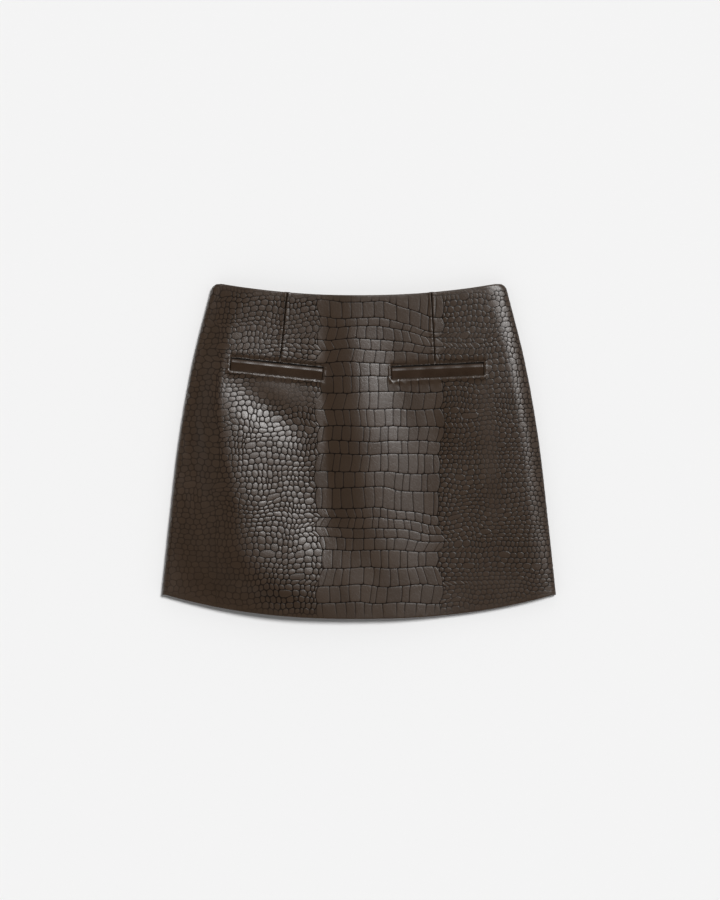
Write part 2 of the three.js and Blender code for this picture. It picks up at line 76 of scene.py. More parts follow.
class Maths:
    """A shader socket whose operators add the Math nodes that work them out."""

    def __init__(self, finish, socket):
        self.finish = finish
        self.socket = socket

    def join(self, operation, first, second):
        return self.finish.node("ShaderNodeMath", {"operation": operation}, {0: first, 1: second})

    def __add__(self, other):
        return self.join("ADD", self, other)

    def __radd__(self, other):
        return self.join("ADD", other, self)

    def __sub__(self, other):
        return self.join("SUBTRACT", self, other)

    def __rsub__(self, other):
        return self.join("SUBTRACT", other, self)

    def __mul__(self, other):
        return self.join("MULTIPLY", self, other)

    def __rmul__(self, other):
        return self.join("MULTIPLY", other, self)


class Finish:
    """The nodes of a material, or of a world. node() adds any node by its type, settings and sockets."""

    def __init__(self, name, kinds=bpy.data.materials):
        self.owner = kinds.new(name)
        self.owner.use_nodes = True
        self.tree = self.owner.node_tree
        self.tree.nodes.clear()

    def node(self, kind, settings=None, sockets=None, output=0):
        made = self.tree.nodes.new(kind)
        for name, value in (settings or {}).items():
            if name == "stops":
                ramp = made.color_ramp.elements
                for place, (position, colour) in enumerate(value):
                    stop = ramp[place] if place < len(ramp) else ramp.new(position)
                    stop.position, stop.color = position, colour
            else:
                setattr(made, name, value)
        for name, value in (sockets or {}).items():
            if isinstance(value, Maths):
                self.tree.links.new(value.socket, made.inputs[name])
            else:
                made.inputs[name].default_value = value
        return Maths(self, made.outputs[output]) if len(made.outputs) else None

    def mixed(self, factor, first, second):
        """Mixes two colours by a number from 0 to 1."""
        sockets = {"Factor": factor, 6: first, 7: second}
        return self.node("ShaderNodeMix", {"data_type": "RGBA"}, sockets, output=2)

    def finished(self, shader, kind="ShaderNodeOutputMaterial"):
        self.node(kind, {}, {"Surface": shader})
        return self.owner


def placed(name, mesh):
    thing = bpy.data.objects.new(name, mesh)
    bpy.context.collection.objects.link(thing)
    return thing


def table_finish():
    finish = Finish("table_white")
    paint = finish.node("ShaderNodeBsdfPrincipled", {}, {"Base Color": TABLE_WHITE, "Roughness": 0.9})
    clear = finish.node("ShaderNodeBsdfTransparent")
    under = finish.node("ShaderNodeNewGeometry", output=6)
    return finish.finished(finish.node("ShaderNodeMixShader", {}, {0: under, 1: paint, 2: clear}))


def room_light():
    """Light from all round: bright near the walls' foot, dim overhead."""
    shading = Finish("studio_room", bpy.data.worlds)
    place = shading.node("ShaderNodeTexCoord")
    upward = shading.node("ShaderNodeSeparateXYZ", {}, {0: place}, output=2)
    stops = [(0.25, ROOM_BRIGHT), (0.9, ROOM_DIM)]
    colour = shading.node("ShaderNodeValToRGB", {"stops": stops}, {0: upward})
    return shading.finished(shading.node("ShaderNodeBackground", {}, {0: colour}), "ShaderNodeOutputWorld")


def far_light(name, strength, breadth, tilt, turn):
    sun = bpy.data.lights.new(name, "SUN")
    sun.energy, sun.angle = strength, breadth
    placed(name, sun).rotation_euler = (0, tilt, turn)


far_light("key_light", KEY_STRENGTH, KEY_BREADTH, KEY_TILT, KEY_TURN)
far_light("under_light", UNDER_STRENGTH, UNDER_BREADTH, UNDER_TILT, 0)
bpy.context.scene.world = room_light()

table_mesh = bpy.data.meshes.new("table")
table_corners = [
    (x * TABLE_HALF, y * TABLE_HALF, -TABLE_GAP)
    for x, y in ((-1, -1), (1, -1), (1, 1), (-1, 1))
]
table_mesh.from_pydata(table_corners, [], [(0, 1, 2, 3)])
table = placed("table", table_mesh)
table_mesh.materials.append(table_finish())
table.visible_shadow = False

# The front is one piece of leather from side seam to side seam, cut to the skirt's flat outline. It is
# turned in at waist and hem, folds down at the sides, and lies in soft waves over the back. Sizes are in mm.
MM = 0.001
WAIST_CENTRE_Y, WAIST_CORNER_RISE, WAIST_POWER = 187, 14.6, 2.1
HEM_CENTRE_Y, HEM_CORNER_RISE, HEM_POWER = -201.6, 30, 2.35
SIDE_LENGTH = WAIST_CENTRE_Y + WAIST_CORNER_RISE - HEM_CENTRE_Y - HEM_CORNER_RISE
OUTLINE = [
    dict(down=0, half=176),
    dict(down=0.25, half=199.5),
    dict(down=0.5, half=216),
    dict(down=0.75, half=227),
    dict(down=1, half=237),
]
WAIST_CORNER_RADIUS = 7
LEATHER = 1.4
TURNED_LEATHER = 2.6
WAIST_TURN, HEM_TURN, TURN_STEP = 24, 30, 3
EDGE_ROLL = TURNED_LEATHER / 2
SEAM_GAP = 0.3
BACK_ROLL, FRONT_ROLL = 4.5, 5
FRONT_SEAM_Z = BACK_ROLL + SEAM_GAP
FRONT_EDGE_Z = FRONT_SEAM_Z + FRONT_ROLL
RIGHT_ROLL_START = math.radians(42)

# The waves, from left to right in each section: where a crest or dip is across, and its height
WAVES = [
    dict(down=0, hip=(-118, 14.2), dip=(-44, 12.8), ridge=(-4, 14.9), flat=(75, 12.6), side=(150, 12.4)),
    dict(down=0.12, hip=(-150, 15), dip=(-47, 12), ridge=(-8, 14.8), flat=(46, 11.8), side=(164, 13.2)),
    dict(down=0.34, hip=(-164, 21.2), dip=(-48, 11.8), ridge=(-1, 17), flat=(60, 11.4), side=(184, 14.6)),
    dict(down=0.5, hip=(-158, 24.2), dip=(-48, 11.4), ridge=(5, 17.2), flat=(84, 10.6), side=(194, 14.6)),
    dict(down=0.68, hip=(-144, 25.6), dip=(-42, 12.2), ridge=(11, 16.8), flat=(90, 10.4), side=(201, 14.2)),
    dict(down=0.86, hip=(-132, 25), dip=(-26, 16.6), ridge=(24, 15.4), flat=(104, 10.8), side=(207, 12.6)),
    dict(down=1, hip=(-74, 16.8), dip=(-10, 16.4), ridge=(30, 15.4), flat=(120, 10.4), side=(213, 10.8)),
]
# The smaller creases: a line of points, how high it stands (or deep it lies), and how wide it is
CREASES = [
    dict(line=[(-166, 97), (-122, 60), (-60, 16)], height=-2.7, width=19),
    dict(line=[(-42, 98), (-37, 84), (-44, 68)], height=0.9, width=6),
    dict(line=[(-40, 170), (-41, 110), (-40, 60), (-38, 0), (-34, -90)], height=-1.5, width=8),
    dict(line=[(-88, 30), (-88, -30), (-80, -80), (-60, -150)], height=1.2, width=20),
    dict(line=[(-194, 60), (-186, 20), (-180, -20)], height=1, width=6),
    dict(line=[(-206, 20), (-196, -30), (-186, -70)], height=-0.9, width=7),
    dict(line=[(-214, -30), (-204, -80), (-190, -120)], height=0.9, width=7),
    dict(line=[(96, 90), (92, 40), (100, -30)], height=-1, width=14),
    dict(line=[(-150, -166), (-110, -179), (-72, -185)], height=-1.7, width=9),
]
DARTS = [dict(top=(-86, 190), foot=(-94.7, 107.5)), dict(top=(86.8, 190), foot=(91.2, 104.8))]
POCKETS = [
    dict(side="left", middle=(-97.9, 106.6), tilt=-6),
    dict(side="right", middle=(93.9, 104.2), tilt=2.6),
]
POCKET_LENGTH, WINDOW_DEPTH = 111, 15.2


def ease(t):
    return t * t * (3 - 2 * t)


def step_between(value, start, end):
    return ease(np.clip((value - start) / (end - start), 0, 1))


def table_value(rows, read, down):
    """A smooth curve through the values that read takes from a table's rows, by their down column."""
    knots = np.array([row["down"] for row in rows], float)
    values = np.array([read(row) for row in rows], float)
    before = np.maximum(np.arange(len(rows)) - 1, 0)
    after = np.minimum(np.arange(len(rows)) + 1, len(rows) - 1)
    slopes = (values[after] - values[before]) / (knots[after] - knots[before])
    i = np.clip(np.searchsorted(knots, down, side="right") - 1, 0, len(rows) - 2)
    span = knots[i + 1] - knots[i]
    t = np.clip((down - knots[i]) / span, 0, 1)
    bend = slopes[i] * t * (1 - t) ** 2 - slopes[i + 1] * t * t * (1 - t)
    return values[i] + (values[i + 1] - values[i]) * ease(t) + span * bend


def half_width(down):
    to_corner = np.clip(1 - down * SIDE_LENGTH / WAIST_CORNER_RADIUS, 0, 1)
    rounding = WAIST_CORNER_RADIUS * (1 - np.sqrt(1 - to_corner**2))
    return table_value(OUTLINE, lambda row: row["half"], down) - rounding


def waist_y(share):
    return WAIST_CENTRE_Y + WAIST_CORNER_RISE * np.abs(share) ** WAIST_POWER


def hem_y(share):
    return HEM_CENTRE_Y + HEM_CORNER_RISE * np.abs(share) ** HEM_POWER


def down_at(x, y):
    """How far down from waist to hem a place on the plan is, from 0 to 1."""
    down = np.full(np.shape(x), 0.5)
    for _ in range(6):
        share = np.clip(x / half_width(down), -1, 1)
        down = np.clip((waist_y(share) - y) / (waist_y(share) - hem_y(share)), 0, 1)
    return down


def seam_share(across, y, roll):
    """How far from the middle to the side seam a place of a cut piece is, up to where its fold starts."""
    flat = half_width(down_at(np.abs(across), y)) - roll
    x = np.minimum(np.abs(across), flat)
    return x / half_width(down_at(x, y))


def along_line(x, y, line):
    """How far places are from a line of points, and how far along it they are, from 0 to 1."""
    nearest = np.full(np.shape(x), np.inf)
    share = np.zeros(np.shape(x))
    lengths = [math.dist(a, b) for a, b in zip(line, line[1:])]
    walked = 0
    for (ax, ay), (bx, by), length in zip(line, line[1:], lengths):
        t = np.clip(((x - ax) * (bx - ax) + (y - ay) * (by - ay)) / length**2, 0, 1)
        away = np.hypot(x - ax - t * (bx - ax), y - ay - t * (by - ay))
        closer = away < nearest
        nearest = np.where(closer, away, nearest)
        share = np.where(closer, (walked + t * length) / sum(lengths), share)
        walked += length
    return nearest, share


def in_pocket(pocket, x, y):
    """A place as seen along a pocket: along its mouth from the middle, and down from the mouth."""
    tilt = math.radians(pocket["tilt"])
    dx, dy = x - pocket["middle"][0], y - pocket["middle"][1]
    return dx * math.cos(tilt) + dy * math.sin(tilt), dx * math.sin(tilt) - dy * math.cos(tilt)


def pocket_point(pocket, along, below):
    tilt = math.radians(pocket["tilt"])
    x = pocket["middle"][0] + along * math.cos(tilt) + below * math.sin(tilt)
    return x, pocket["middle"][1] + along * math.sin(tilt) - below * math.cos(tilt)


def front_height(x, y, down):
    """The height of the front's outer face over the table, between the side folds."""
    edge = half_width(down) - FRONT_ROLL
    names = ("hip", "dip", "ridge", "flat", "side")
    places = [table_value(WAVES, lambda row: row[name][0], down) for name in names]
    heights = [table_value(WAVES, lambda row: row[name][1], down) for name in names]
    places = [-edge] + places + [edge]
    heights = [FRONT_EDGE_Z] + heights + [FRONT_EDGE_Z]
    z = np.full(np.shape(x), float(FRONT_EDGE_Z))
    for i in range(len(places) - 1):
        rise = np.clip((x - places[i]) / (places[i + 1] - places[i]), 0, 1)
        z = z + (heights[i + 1] - heights[i]) * (rise**2 if places[i + 1] is edge else ease(rise))
    for crease in CREASES:
        away, share = along_line(x, y, crease["line"])
        z = z + crease["height"] * np.exp(-((away / crease["width"]) ** 2)) * 4 * share * (1 - share)
    return z


def edge_turn(share, y):
    """Splits a place along the cut piece into its y between waist and hem and the turn round the edge."""
    top = waist_y(share) - EDGE_ROLL
    bottom = hem_y(share) + EDGE_ROLL
    past = np.where(y > top, y - top, np.where(y < bottom, y - bottom, 0))
    angle = np.clip(past / EDGE_ROLL, -math.pi / 2, math.pi / 2)
    return np.clip(y, bottom, top), angle


def front_point(across, y):
    """The outer face over a place of the cut piece: across is the way from the middle, along the leather."""
    reach = half_width(down_at(across, y)) - FRONT_ROLL
    x = np.clip(across, -reach, reach)
    down = down_at(x, y)
    flat = half_width(down) - FRONT_ROLL
    inner, turn = edge_turn(x / (flat + FRONT_ROLL), y)
    start = np.where(across > 0, RIGHT_ROLL_START, 0)
    share = np.clip((np.abs(across) - flat) / FRONT_ROLL / (math.pi / 2), 0, 1)
    roll = start + (math.pi / 2 - start) * share
    past = FRONT_ROLL * (np.sin(roll) - np.sin(start)) / (1 - np.sin(start))
    x = np.clip(across, -flat, flat) + np.sign(across) * past
    drop = FRONT_ROLL * (np.cos(start) - np.cos(roll)) / np.cos(start)
    z = front_height(np.clip(across, -flat, flat), inner, down) - drop
    z = z - EDGE_ROLL * (1 - np.cos(turn))
    return np.stack([x, inner + EDGE_ROLL * np.sin(turn), z], axis=-1)


def outward(point_at, across, y, reach=0.4):
    """The surface's outward direction, from points a little way off on each side."""
    sideways = point_at(across + reach, y) - point_at(across - reach, y)
    upward = point_at(across, y + reach) - point_at(across, y - reach)
    normal = np.cross(sideways, upward)
    size = np.linalg.norm(normal, axis=-1, keepdims=True)
    if reach < 3 and np.any(size < 1e-6):
        return np.where(size < 1e-6, outward(point_at, across, y, 2 * reach), normal / np.maximum(size, 1e-6))
    return normal / np.maximum(size, 1e-6)


# The leather is pressed with a crocodile grain before it is cut: wide tiles in rows down the belly, and
# small round scales on the flanks. height is a row's own, at the belly's middle, from the waist down, and
# drop is how far its lower edge falls away to the right.
GRAIN_TOP = 213.3
BELLY_ROWS = [
    dict(height=18, drop=8),
    dict(height=16, drop=18),
    dict(height=20, drop=17),
    dict(height=10, drop=14),
    dict(height=15, drop=10),
    dict(height=12.5, drop=6),
    dict(height=16, drop=3),
    dict(height=16.5, drop=1),
    dict(height=19, drop=0),
    dict(height=20, drop=0),
    dict(height=21, drop=0),
    dict(height=18, drop=0),
    dict(height=15, drop=1),
    dict(height=21, drop=3),
    dict(height=19.5, drop=6),
    dict(height=24.5, drop=9),
    dict(height=11, drop=9),
    dict(height=12.5, drop=7),
    dict(height=12, drop=4),
    dict(height=15, drop=2),
    dict(height=21, drop=0),
    dict(height=21, drop=0),
    dict(height=21, drop=0),
    dict(height=19, drop=0),
    dict(height=18, drop=0),
]
DROP_FROM, DROP_TO = 23, 95
GRAIN_ZONES = [
    dict(start=-252, wide=7.6, high=7.2, groove=0.26, dome=0.05, zigzag=0.22, lean=0.02),
    dict(start=-172, wide=6.6, high=6.3, groove=0.3, dome=0.05, zigzag=0.24, lean=0.024),
    dict(start=-48, wide=11.6, high=None, groove=0.26, dome=0.05, zigzag=0, lean=0.008),
    dict(start=97, wide=6.2, high=5.9, groove=0.26, dome=0.05, zigzag=0.24, lean=0.022, tilt=0.075),
]
GRAIN_END = 252
FINEST_STEP = 3.1
SHOULDER_IN, CREST_IN, PLATEAU_IN = 0.36, 0.72, 2.4
FOAM_PULL, FOAM_ROUNDS = 0.5, 2
WANDER = 0.0065
BORDER_BULGE = 2.2
# The pressed grain lies shallow in places. It fades out towards the left side, and on the right flank.
FAINT_LEFT, FAINT_LEFT_SPAN, FAINT_LEFT_LEAN, FAINT_LEFT_DEPTH = -158, 44, 0.25, 0.22
FAINT_RIGHT, FAINT_RIGHT_SPAN, FAINT_RIGHT_DEPTH = 104, 26, 0.55
# It is faint in spots where the leather was stretched, each an oval with its own turn.
FAINT_SPOTS = [
    dict(middle=(-93, 72), reach=(50, 20), turn=-14, depth=0.06),
    dict(middle=(-60, 152), reach=(34, 18), turn=0, depth=0.6),
    dict(middle=(-120, 150), reach=(52, 44), turn=0, depth=0.62),
    dict(middle=(156, 0), reach=(11, 110), turn=4, depth=0.4),
    dict(middle=(112, 132), reach=(30, 20), turn=0, depth=0.6),
    dict(middle=(-190, -150), reach=(44, 50), turn=30, depth=0.5),
    dict(middle=(150, -165), reach=(60, 22), turn=8, depth=0.5),
]
# Along the turned waist and hem it is ironed nearly flat.
IRONED_EDGE, IRONED_SPAN, IRONED_DEPTH = 3, 9, 0.14


class Grain:
    """The pressed grain of one hide as a flat chart: scales, each a loop of points on shared grooves."""

    def __init__(self, rows, zones, end, top, seed):
        self.rows, self.zones, self.random = rows, zones, random.Random(seed)
        self.starts = [zone["start"] for zone in zones] + [end]
        self.levels = [top - sum(row["height"] for row in rows[:k]) for k in range(len(rows) + 1)]
        self.drops = [rows[0]["drop"] / 2] + [row["drop"] for row in rows]
        self.points, self.number, self.scales, self.shallow = [], {}, [], set()
        self.sway = [[self.random.uniform(-4.5, 4.5) for _ in self.levels] for _ in self.starts]
        self.cuts = [[self.cut_rows(z, k) for k in range(len(rows))] for z in range(len(zones))]
        for z in range(len(zones)):
            self.lay_zone(z)
        self.places = self.wandered(self.foamed(np.array(self.points)))

    def level(self, k, x):
        fall = float(step_between(x, DROP_FROM, DROP_TO))
        return self.levels[k] - self.drops[k] * fall

    def height_at(self, k, share, x):
        if k >= len(self.rows):
            return self.level(len(self.rows), x)
        return self.level(k, x) * (1 - share) + self.level(k + 1, x) * share

    def cut_rows(self, z, k):
        """How many lines of scales a belly row is cut into in a zone."""
        middle = (self.starts[z] + self.starts[z + 1]) / 2
        high = self.zones[z]["high"]
        return max(1, round((self.level(k, middle) - self.level(k + 1, middle)) / high)) if high else 1

    def point(self, key, x, y):
        if key not in self.number:
            self.number[key] = len(self.points)
            self.points.append((x, y))
        return self.number[key]

    def border(self, b, k, share):
        """A point on the border where two zones meet."""
        if share > 0.9999:
            k, share = k + 1, 0
        sway = self.sway[b]
        ahead = sway[min(k + 1, len(sway) - 1)]
        outward_way = 1 if self.zones[min(b, len(self.zones) - 1)]["high"] else -1
        bulge = outward_way * BORDER_BULGE * math.sin(math.pi * share)
        x = self.starts[b] + sway[k] * (1 - share) + ahead * share + bulge
        return self.point(("border", b, k, round(share, 4)), x, self.height_at(k, share, x))

    def border_shares(self, b, k):
        shares = {0, 1}
        for z in (b - 1, b):
            if 0 <= z < len(self.zones):
                shares |= {round(i / self.cuts[z][k], 4) for i in range(self.cuts[z][k])}
        steps = math.ceil(self.rows[k]["height"] / FINEST_STEP)
        for i in range(1, steps):
            if min(abs(i / steps - share) for share in shares) > 0.4 / steps:
                shares.add(round(i / steps, 4))
        return sorted(shares)

    def lay_zone(self, z):
        zone = self.zones[z]
        lines = [(k, i / cut, i) for k, cut in enumerate(self.cuts[z]) for i in range(cut)]
        lines.append((len(self.rows), 0, 0))
        width = self.starts[z + 1] - self.starts[z]
        dividers = []
        for n in range(len(lines) - 1):
            wide = zone["wide"] * self.random.uniform(0.82, 1.22)
            count = max(1, round(width / wide))
            shift = 0.5 * (n % 2)
            spread = [(j + shift + self.random.uniform(-0.2, 0.2)) / count for j in range(count)]
            spread = [round(u, 5) for u in spread if 0.25 / count < u < 1 - 0.25 / count]
            dividers.append([u for u in spread if zone["high"] is None or self.random.random() > 0.03])
        along = []
        for n, (k, share, _) in enumerate(lines):
            above = set(dividers[n - 1]) if n else set()
            below = set(dividers[n]) if n < len(dividers) else set()
            stops = sorted({0, 1} | above | below)
            filled = []
            for a, b in zip(stops, stops[1:]):
                steps = max(1, math.ceil((b - a) * width / FINEST_STEP - 0.2))
                filled += [a + (b - a) * i / steps for i in range(steps)]
            along.append([self.line_point(z, n, lines[n], u, above, below) for u in filled + [1]])
        for n, edges in enumerate(dividers):
            self.lay_line(z, n, lines[n], lines[n + 1], [0] + edges + [1], along[n], along[n + 1])

    def line_point(self, z, n, line, u, above, below):
        """A point on the groove between two lines of scales, as its place along the line and its number."""
        k, share, _ = line
        if u in (0, 1):
            return u, self.border(z + int(u), k, share)
        zone = self.zones[z]
        x = self.starts[z] + (self.starts[z + 1] - self.starts[z]) * u
        ends = self.sway[z][min(k, len(self.sway[z]) - 1)], self.sway[z + 1][min(k, len(self.sway[z]) - 1)]
        x += ends[0] * (1 - u) ** 3 + ends[1] * u**3
        high = zone["high"] or 0
        lift = zone["zigzag"] * high * ((u in above) - (u in below))
        jitter = self.random.uniform(-0.12, 0.12) * high + self.random.uniform(-0.25, 0.25)
        return u, self.point(("line", z, n, round(u, 5)), x, self.height_at(k, share, x) + lift + jitter)

    def side(self, z, n, u, upper, lower):
        """The points down one side of a scale, between its upper and lower corners."""
        if u in (0, 1):
            k = upper[0]
            start, end = upper[1], lower[1] if lower[0] == k else 1
            shares = [share for share in self.border_shares(z + u, k) if start + 1e-3 < share < end - 1e-3]
            return [self.border(z + u, k, share) for share in shares]
        top, bottom = self.number_of(z, n, u), self.number_of(z, n + 1, u)
        (ax, ay), (bx, by) = self.points[top], self.points[bottom]
        steps = 2 if self.zones[z]["high"] else 2 * math.ceil((ay - by) / (2 * FINEST_STEP))
        bow = random.Random(z * 99991 + n * 977 + round(u * 1e5)).uniform(-0.7, 0.7)
        made = []
        for i in range(1, steps):
            t = i / steps
            x = ax + (bx - ax) * t + bow * math.sin(math.pi * t)
            made.append(self.point(("side", z, n, u, i), x, ay + (by - ay) * t))
        if self.zones[z]["high"] is None:
            self.shallow.update(made)
        return made

    def number_of(self, z, n, u):
        return self.number[("line", z, n, round(u, 5))]

    def lay_line(self, z, n, upper, lower, edges, top, bottom):
        """Cuts one line into scales, going round each against the clock."""
        sides = [self.side(z, n, u, upper, lower) for u in edges]
        for a, b, left, right in zip(edges, edges[1:], sides, sides[1:]):
            under = [p for u, p in bottom if a - 1e-6 <= u <= b + 1e-6]
            over = [p for u, p in top if a - 1e-6 <= u <= b + 1e-6]
            self.scales.append((under + right[::-1] + over[::-1] + left, z, self.random.random()))

    def foamed(self, places):
        """Draws the flanks' grooves together as foam's walls are, so that small scales lie unevenly."""
        edges = set()
        for loop, _, _ in self.scales:
            edges |= {(min(a, b), max(a, b)) for a, b in zip(loop, loop[1:] + loop[:1])}
        first, second = np.array(sorted(edges)).T
        free = np.ones(len(places), bool)
        for loop, z, _ in self.scales:
            if self.zones[z]["high"] is None:
                free[loop] = False
        joined = np.bincount(first, minlength=len(places)) + np.bincount(second, minlength=len(places))
        free &= joined > 1
        for _ in range(FOAM_ROUNDS):
            total = np.zeros(places.shape)
            np.add.at(total, first, places[second])
            np.add.at(total, second, places[first])
            pulled = places + FOAM_PULL * (total / np.maximum(joined, 1)[:, None] - places)
            places = np.where(free[:, None], pulled, places)
        return places

    def wandered(self, places):
        """Moves the chart about by a few long waves, so that no groove runs straight."""
        belly = [zone["high"] for zone in self.zones].index(None)
        from_belly = np.maximum(self.starts[belly] - places[:, 0], places[:, 0] - self.starts[belly + 1])
        reach = WANDER * (1 + step_between(from_belly, -10, 30))
        moved = places.copy()
        for _ in range(7):
            length = self.random.uniform(26, 90)
            way = self.random.uniform(0, math.pi)
            wave = (places[:, 0] * math.cos(way) + places[:, 1] * math.sin(way)) * 2 * math.pi / length
            for axis in (0, 1):
                moved[:, axis] += reach * length * np.sin(wave + self.random.uniform(0, 2 * math.pi))
        return moved


def scale_rings(loop, zone, tint):
    """The rings of one scale: smaller copies of its outline, each with its heights over the groove's edge."""
    middle = (loop.max(axis=0) + loop.min(axis=0)) / 2
    half = (loop.max(axis=0) - loop.min(axis=0)) / 2
    way = 2 * math.pi * 37 * tint
    lean = zone["lean"] * (0.4 + 0.6 * tint) * np.array([math.cos(way), math.sin(way)])
    lean[0] += zone.get("tilt", 0)
    steps = [(SHOULDER_IN, -0.4 * zone["groove"]), (CREST_IN, 0)]
    if zone["high"] is None:
        steps.append((PLATEAU_IN, 0.6 * zone["dome"]))
    rings = []
    for reach, height in steps:
        ring = middle + (loop - middle) * np.maximum(1 - reach / half, 0.3)
        smooth = (np.roll(ring, 1, axis=0) + np.roll(ring, -1, axis=0)) / 2
        ring = ring * 0.7 + smooth * 0.3
        rings.append((ring, height + (ring - middle) @ lean))
    return rings


def grain_mesh(grain, inside):
    """The chart as a flat mesh. Each point keeps its height, its relief, 0 to 1 up from groove to crest, and
    its tint. Low relief is painted dark: partly dye pooled in the grooves, partly painted shade.
    """
    chart = bmesh.new()
    layers = [chart.verts.layers.float.new(name) for name in ("height", "relief", "tint")]

    def add(place, *values):
        vertex = chart.verts.new((place[0], place[1], 0))
        for layer, value in zip(layers, values):
            vertex[layer] = value
        return vertex

    # Groove points take relief 0, the darkest painted groove shade, and the shoulder ring 0.35; crests take
    # 1. The belly's shallow side lines take half.
    shared = {}
    kept = inside(np.array([grain.places[loop].mean(axis=0) for loop, _, _ in grain.scales]))
    for (loop, z, tint), keep in zip(grain.scales, kept):
        if not keep:
            continue
        outline = grain.places[loop]
        zone = grain.zones[z]
        for number in loop:
            if number not in shared:
                left = 0.5 if number in grain.shallow else 0
                shared[number] = add(grain.places[number], (left - 1) * zone["groove"], left, 0.5)
        rings = scale_rings(outline, zone, tint)
        outer = [shared[number] for number in loop]
        for relief, (ring, heights) in zip((0.35, 1, 1), rings):
            inner = [add(place, height, relief, tint) for place, height in zip(ring, heights)]
            for i in range(len(outer)):
                j = (i + 1) % len(outer)
                chart.faces.new((outer[i], outer[j], inner[j], inner[i]))
            outer = inner
        peak = add(rings[-1][0].mean(axis=0), zone["dome"], 1, tint)
        for i in range(len(outer)):
            chart.faces.new((outer[i], outer[(i + 1) % len(outer)], peak))
    return chart, layers


# The piece is cut to its outline, and across the turned edges where they start to roll. How far in a cut
# can reach, and how close together points of the cut edge may lie.
ROLL_CUTS = [EDGE_ROLL * math.pi / 2 * share for share in (0, 1 / 3, 2 / 3, 1)]
CUT_REACH = 6
HAIR = 0.25


def faces_at(chart, numbers):
    """The faces that meet at points of a chart, given by number, each once and always in the same order."""
    return list(dict.fromkeys(face for number in numbers for face in chart.verts[number].link_faces))


def with_edges(faces):
    edges = dict.fromkeys(edge for face in faces for edge in face.edges)
    corners = dict.fromkeys(corner for face in faces for corner in face.verts)
    return [*faces, *edges, *corners]


def trimmed(chart, depths):
    """Cuts the chart to the piece's outline, and cuts it too where the turned waist and hem start to roll.

    depths gives how deep places lie inside each edge: the waist, the hem and then the sides.
    """
    for edge, cuts in enumerate((ROLL_CUTS, ROLL_CUTS, (0,), (0,))):
        chart.verts.ensure_lookup_table()
        inside = depths(np.array([vertex.co[:2] for vertex in chart.verts]))[edge]
        for vertex, depth in zip(chart.verts, inside):
            vertex.co.z = depth
        faces = faces_at(chart, np.flatnonzero(inside < CUT_REACH))
        for deep in cuts:
            cut = bmesh.ops.bisect_plane(
                chart, geom=with_edges(faces), plane_co=(0, 0, deep), plane_no=(0, 0, 1), dist=1e-3,
                clear_inner=not deep,
            )
            faces = [part for part in cut["geom"] if isinstance(part, bmesh.types.BMFace)]
        for vertex in chart.verts:
            vertex.co.z = 0
    bmesh.ops.remove_doubles(chart, verts=chart.verts, dist=0.01)


def without_hairs(chart):
    """Joins points of the cut edge that lie closer than a hair, so that no sliver stays there."""
    bmesh.ops.remove_doubles(chart, verts=[vertex for vertex in chart.verts if vertex.is_boundary], dist=HAIR)


def scored(chart, start, end, reach, offset=0):
    """Cuts the faces near a straight line along that line, or beside it by the offset."""
    chart.verts.ensure_lookup_table()
    run = Vector((end[0] - start[0], end[1] - start[1], 0))
    length = run.length
    run /= length
    side = Vector((-run.y, run.x, 0))
    origin = Vector((start[0], start[1], 0))
    away = np.array([vertex.co[:2] for vertex in chart.verts]) - origin[:2]
    beside = np.abs(away @ np.array(side[:2]) - offset) < reach
    along = away @ np.array(run[:2])
    close = np.flatnonzero(beside & (along > -reach) & (along < length + reach))
    near = with_edges(faces_at(chart, close))
    bmesh.ops.bisect_plane(chart, geom=near, plane_co=origin + side * offset, plane_no=side, dist=1e-4)


def flattened(mesh):
    """Shades each point by its largest faces, so that scales look flat on top, with crisp grooves between."""
    areas, normals = np.empty(len(mesh.polygons)), np.empty(3 * len(mesh.polygons))
    mesh.polygons.foreach_get("area", areas)
    mesh.polygons.foreach_get("normal", normals)
    corners, sizes = np.empty(len(mesh.loops), int), np.empty(len(mesh.polygons), int)
    mesh.loops.foreach_get("vertex_index", corners)
    mesh.polygons.foreach_get("loop_total", sizes)
    weighted = normals.reshape(-1, 3) * areas[:, None]
    total = np.zeros((len(mesh.vertices), 3))
    np.add.at(total, corners, np.repeat(weighted, sizes, axis=0))
    total /= np.maximum(np.linalg.norm(total, axis=1, keepdims=True), 1e-12)
    mesh.normals_split_custom_set_from_vertices([tuple(normal) for normal in total])


def triangles_between(flat, triangles, walls, inside):
    """The triangles of those regions between walls that lie mostly inside and are more than slivers."""
    beside = {}
    for number, (a, b, c) in enumerate(triangles):
        for pair in ((a, b), (b, c), (c, a)):
            beside.setdefault(frozenset(pair), []).append(number)
    joined = [[] for _ in triangles]
    for pair, numbers in beside.items():
        if pair not in walls and len(numbers) == 2:
            joined[numbers[0]].append(numbers[1])
            joined[numbers[1]].append(numbers[0])
    corners = flat[np.array(triangles)]
    (ax, ay), (bx, by) = (corners[:, 1] - corners[:, 0]).T, (corners[:, 2] - corners[:, 0]).T
    sizes = np.abs(ax * by - ay * bx)
    good = inside(corners.mean(axis=1), 0)
    kept, seen = [], set()
    for start in range(len(triangles)):
        if start in seen:
            continue
        seen.add(start)
        region, waiting = [], [start]
        while waiting:
            number = waiting.pop()
            region.append(number)
            ahead = [other for other in joined[number] if other not in seen]
            seen.update(ahead)
            waiting += ahead
        if sizes[region].max() > 1 and sizes[region][good[region]].sum() > sizes[region].sum() / 2:
            kept += [triangles[number] for number in region]
    return kept


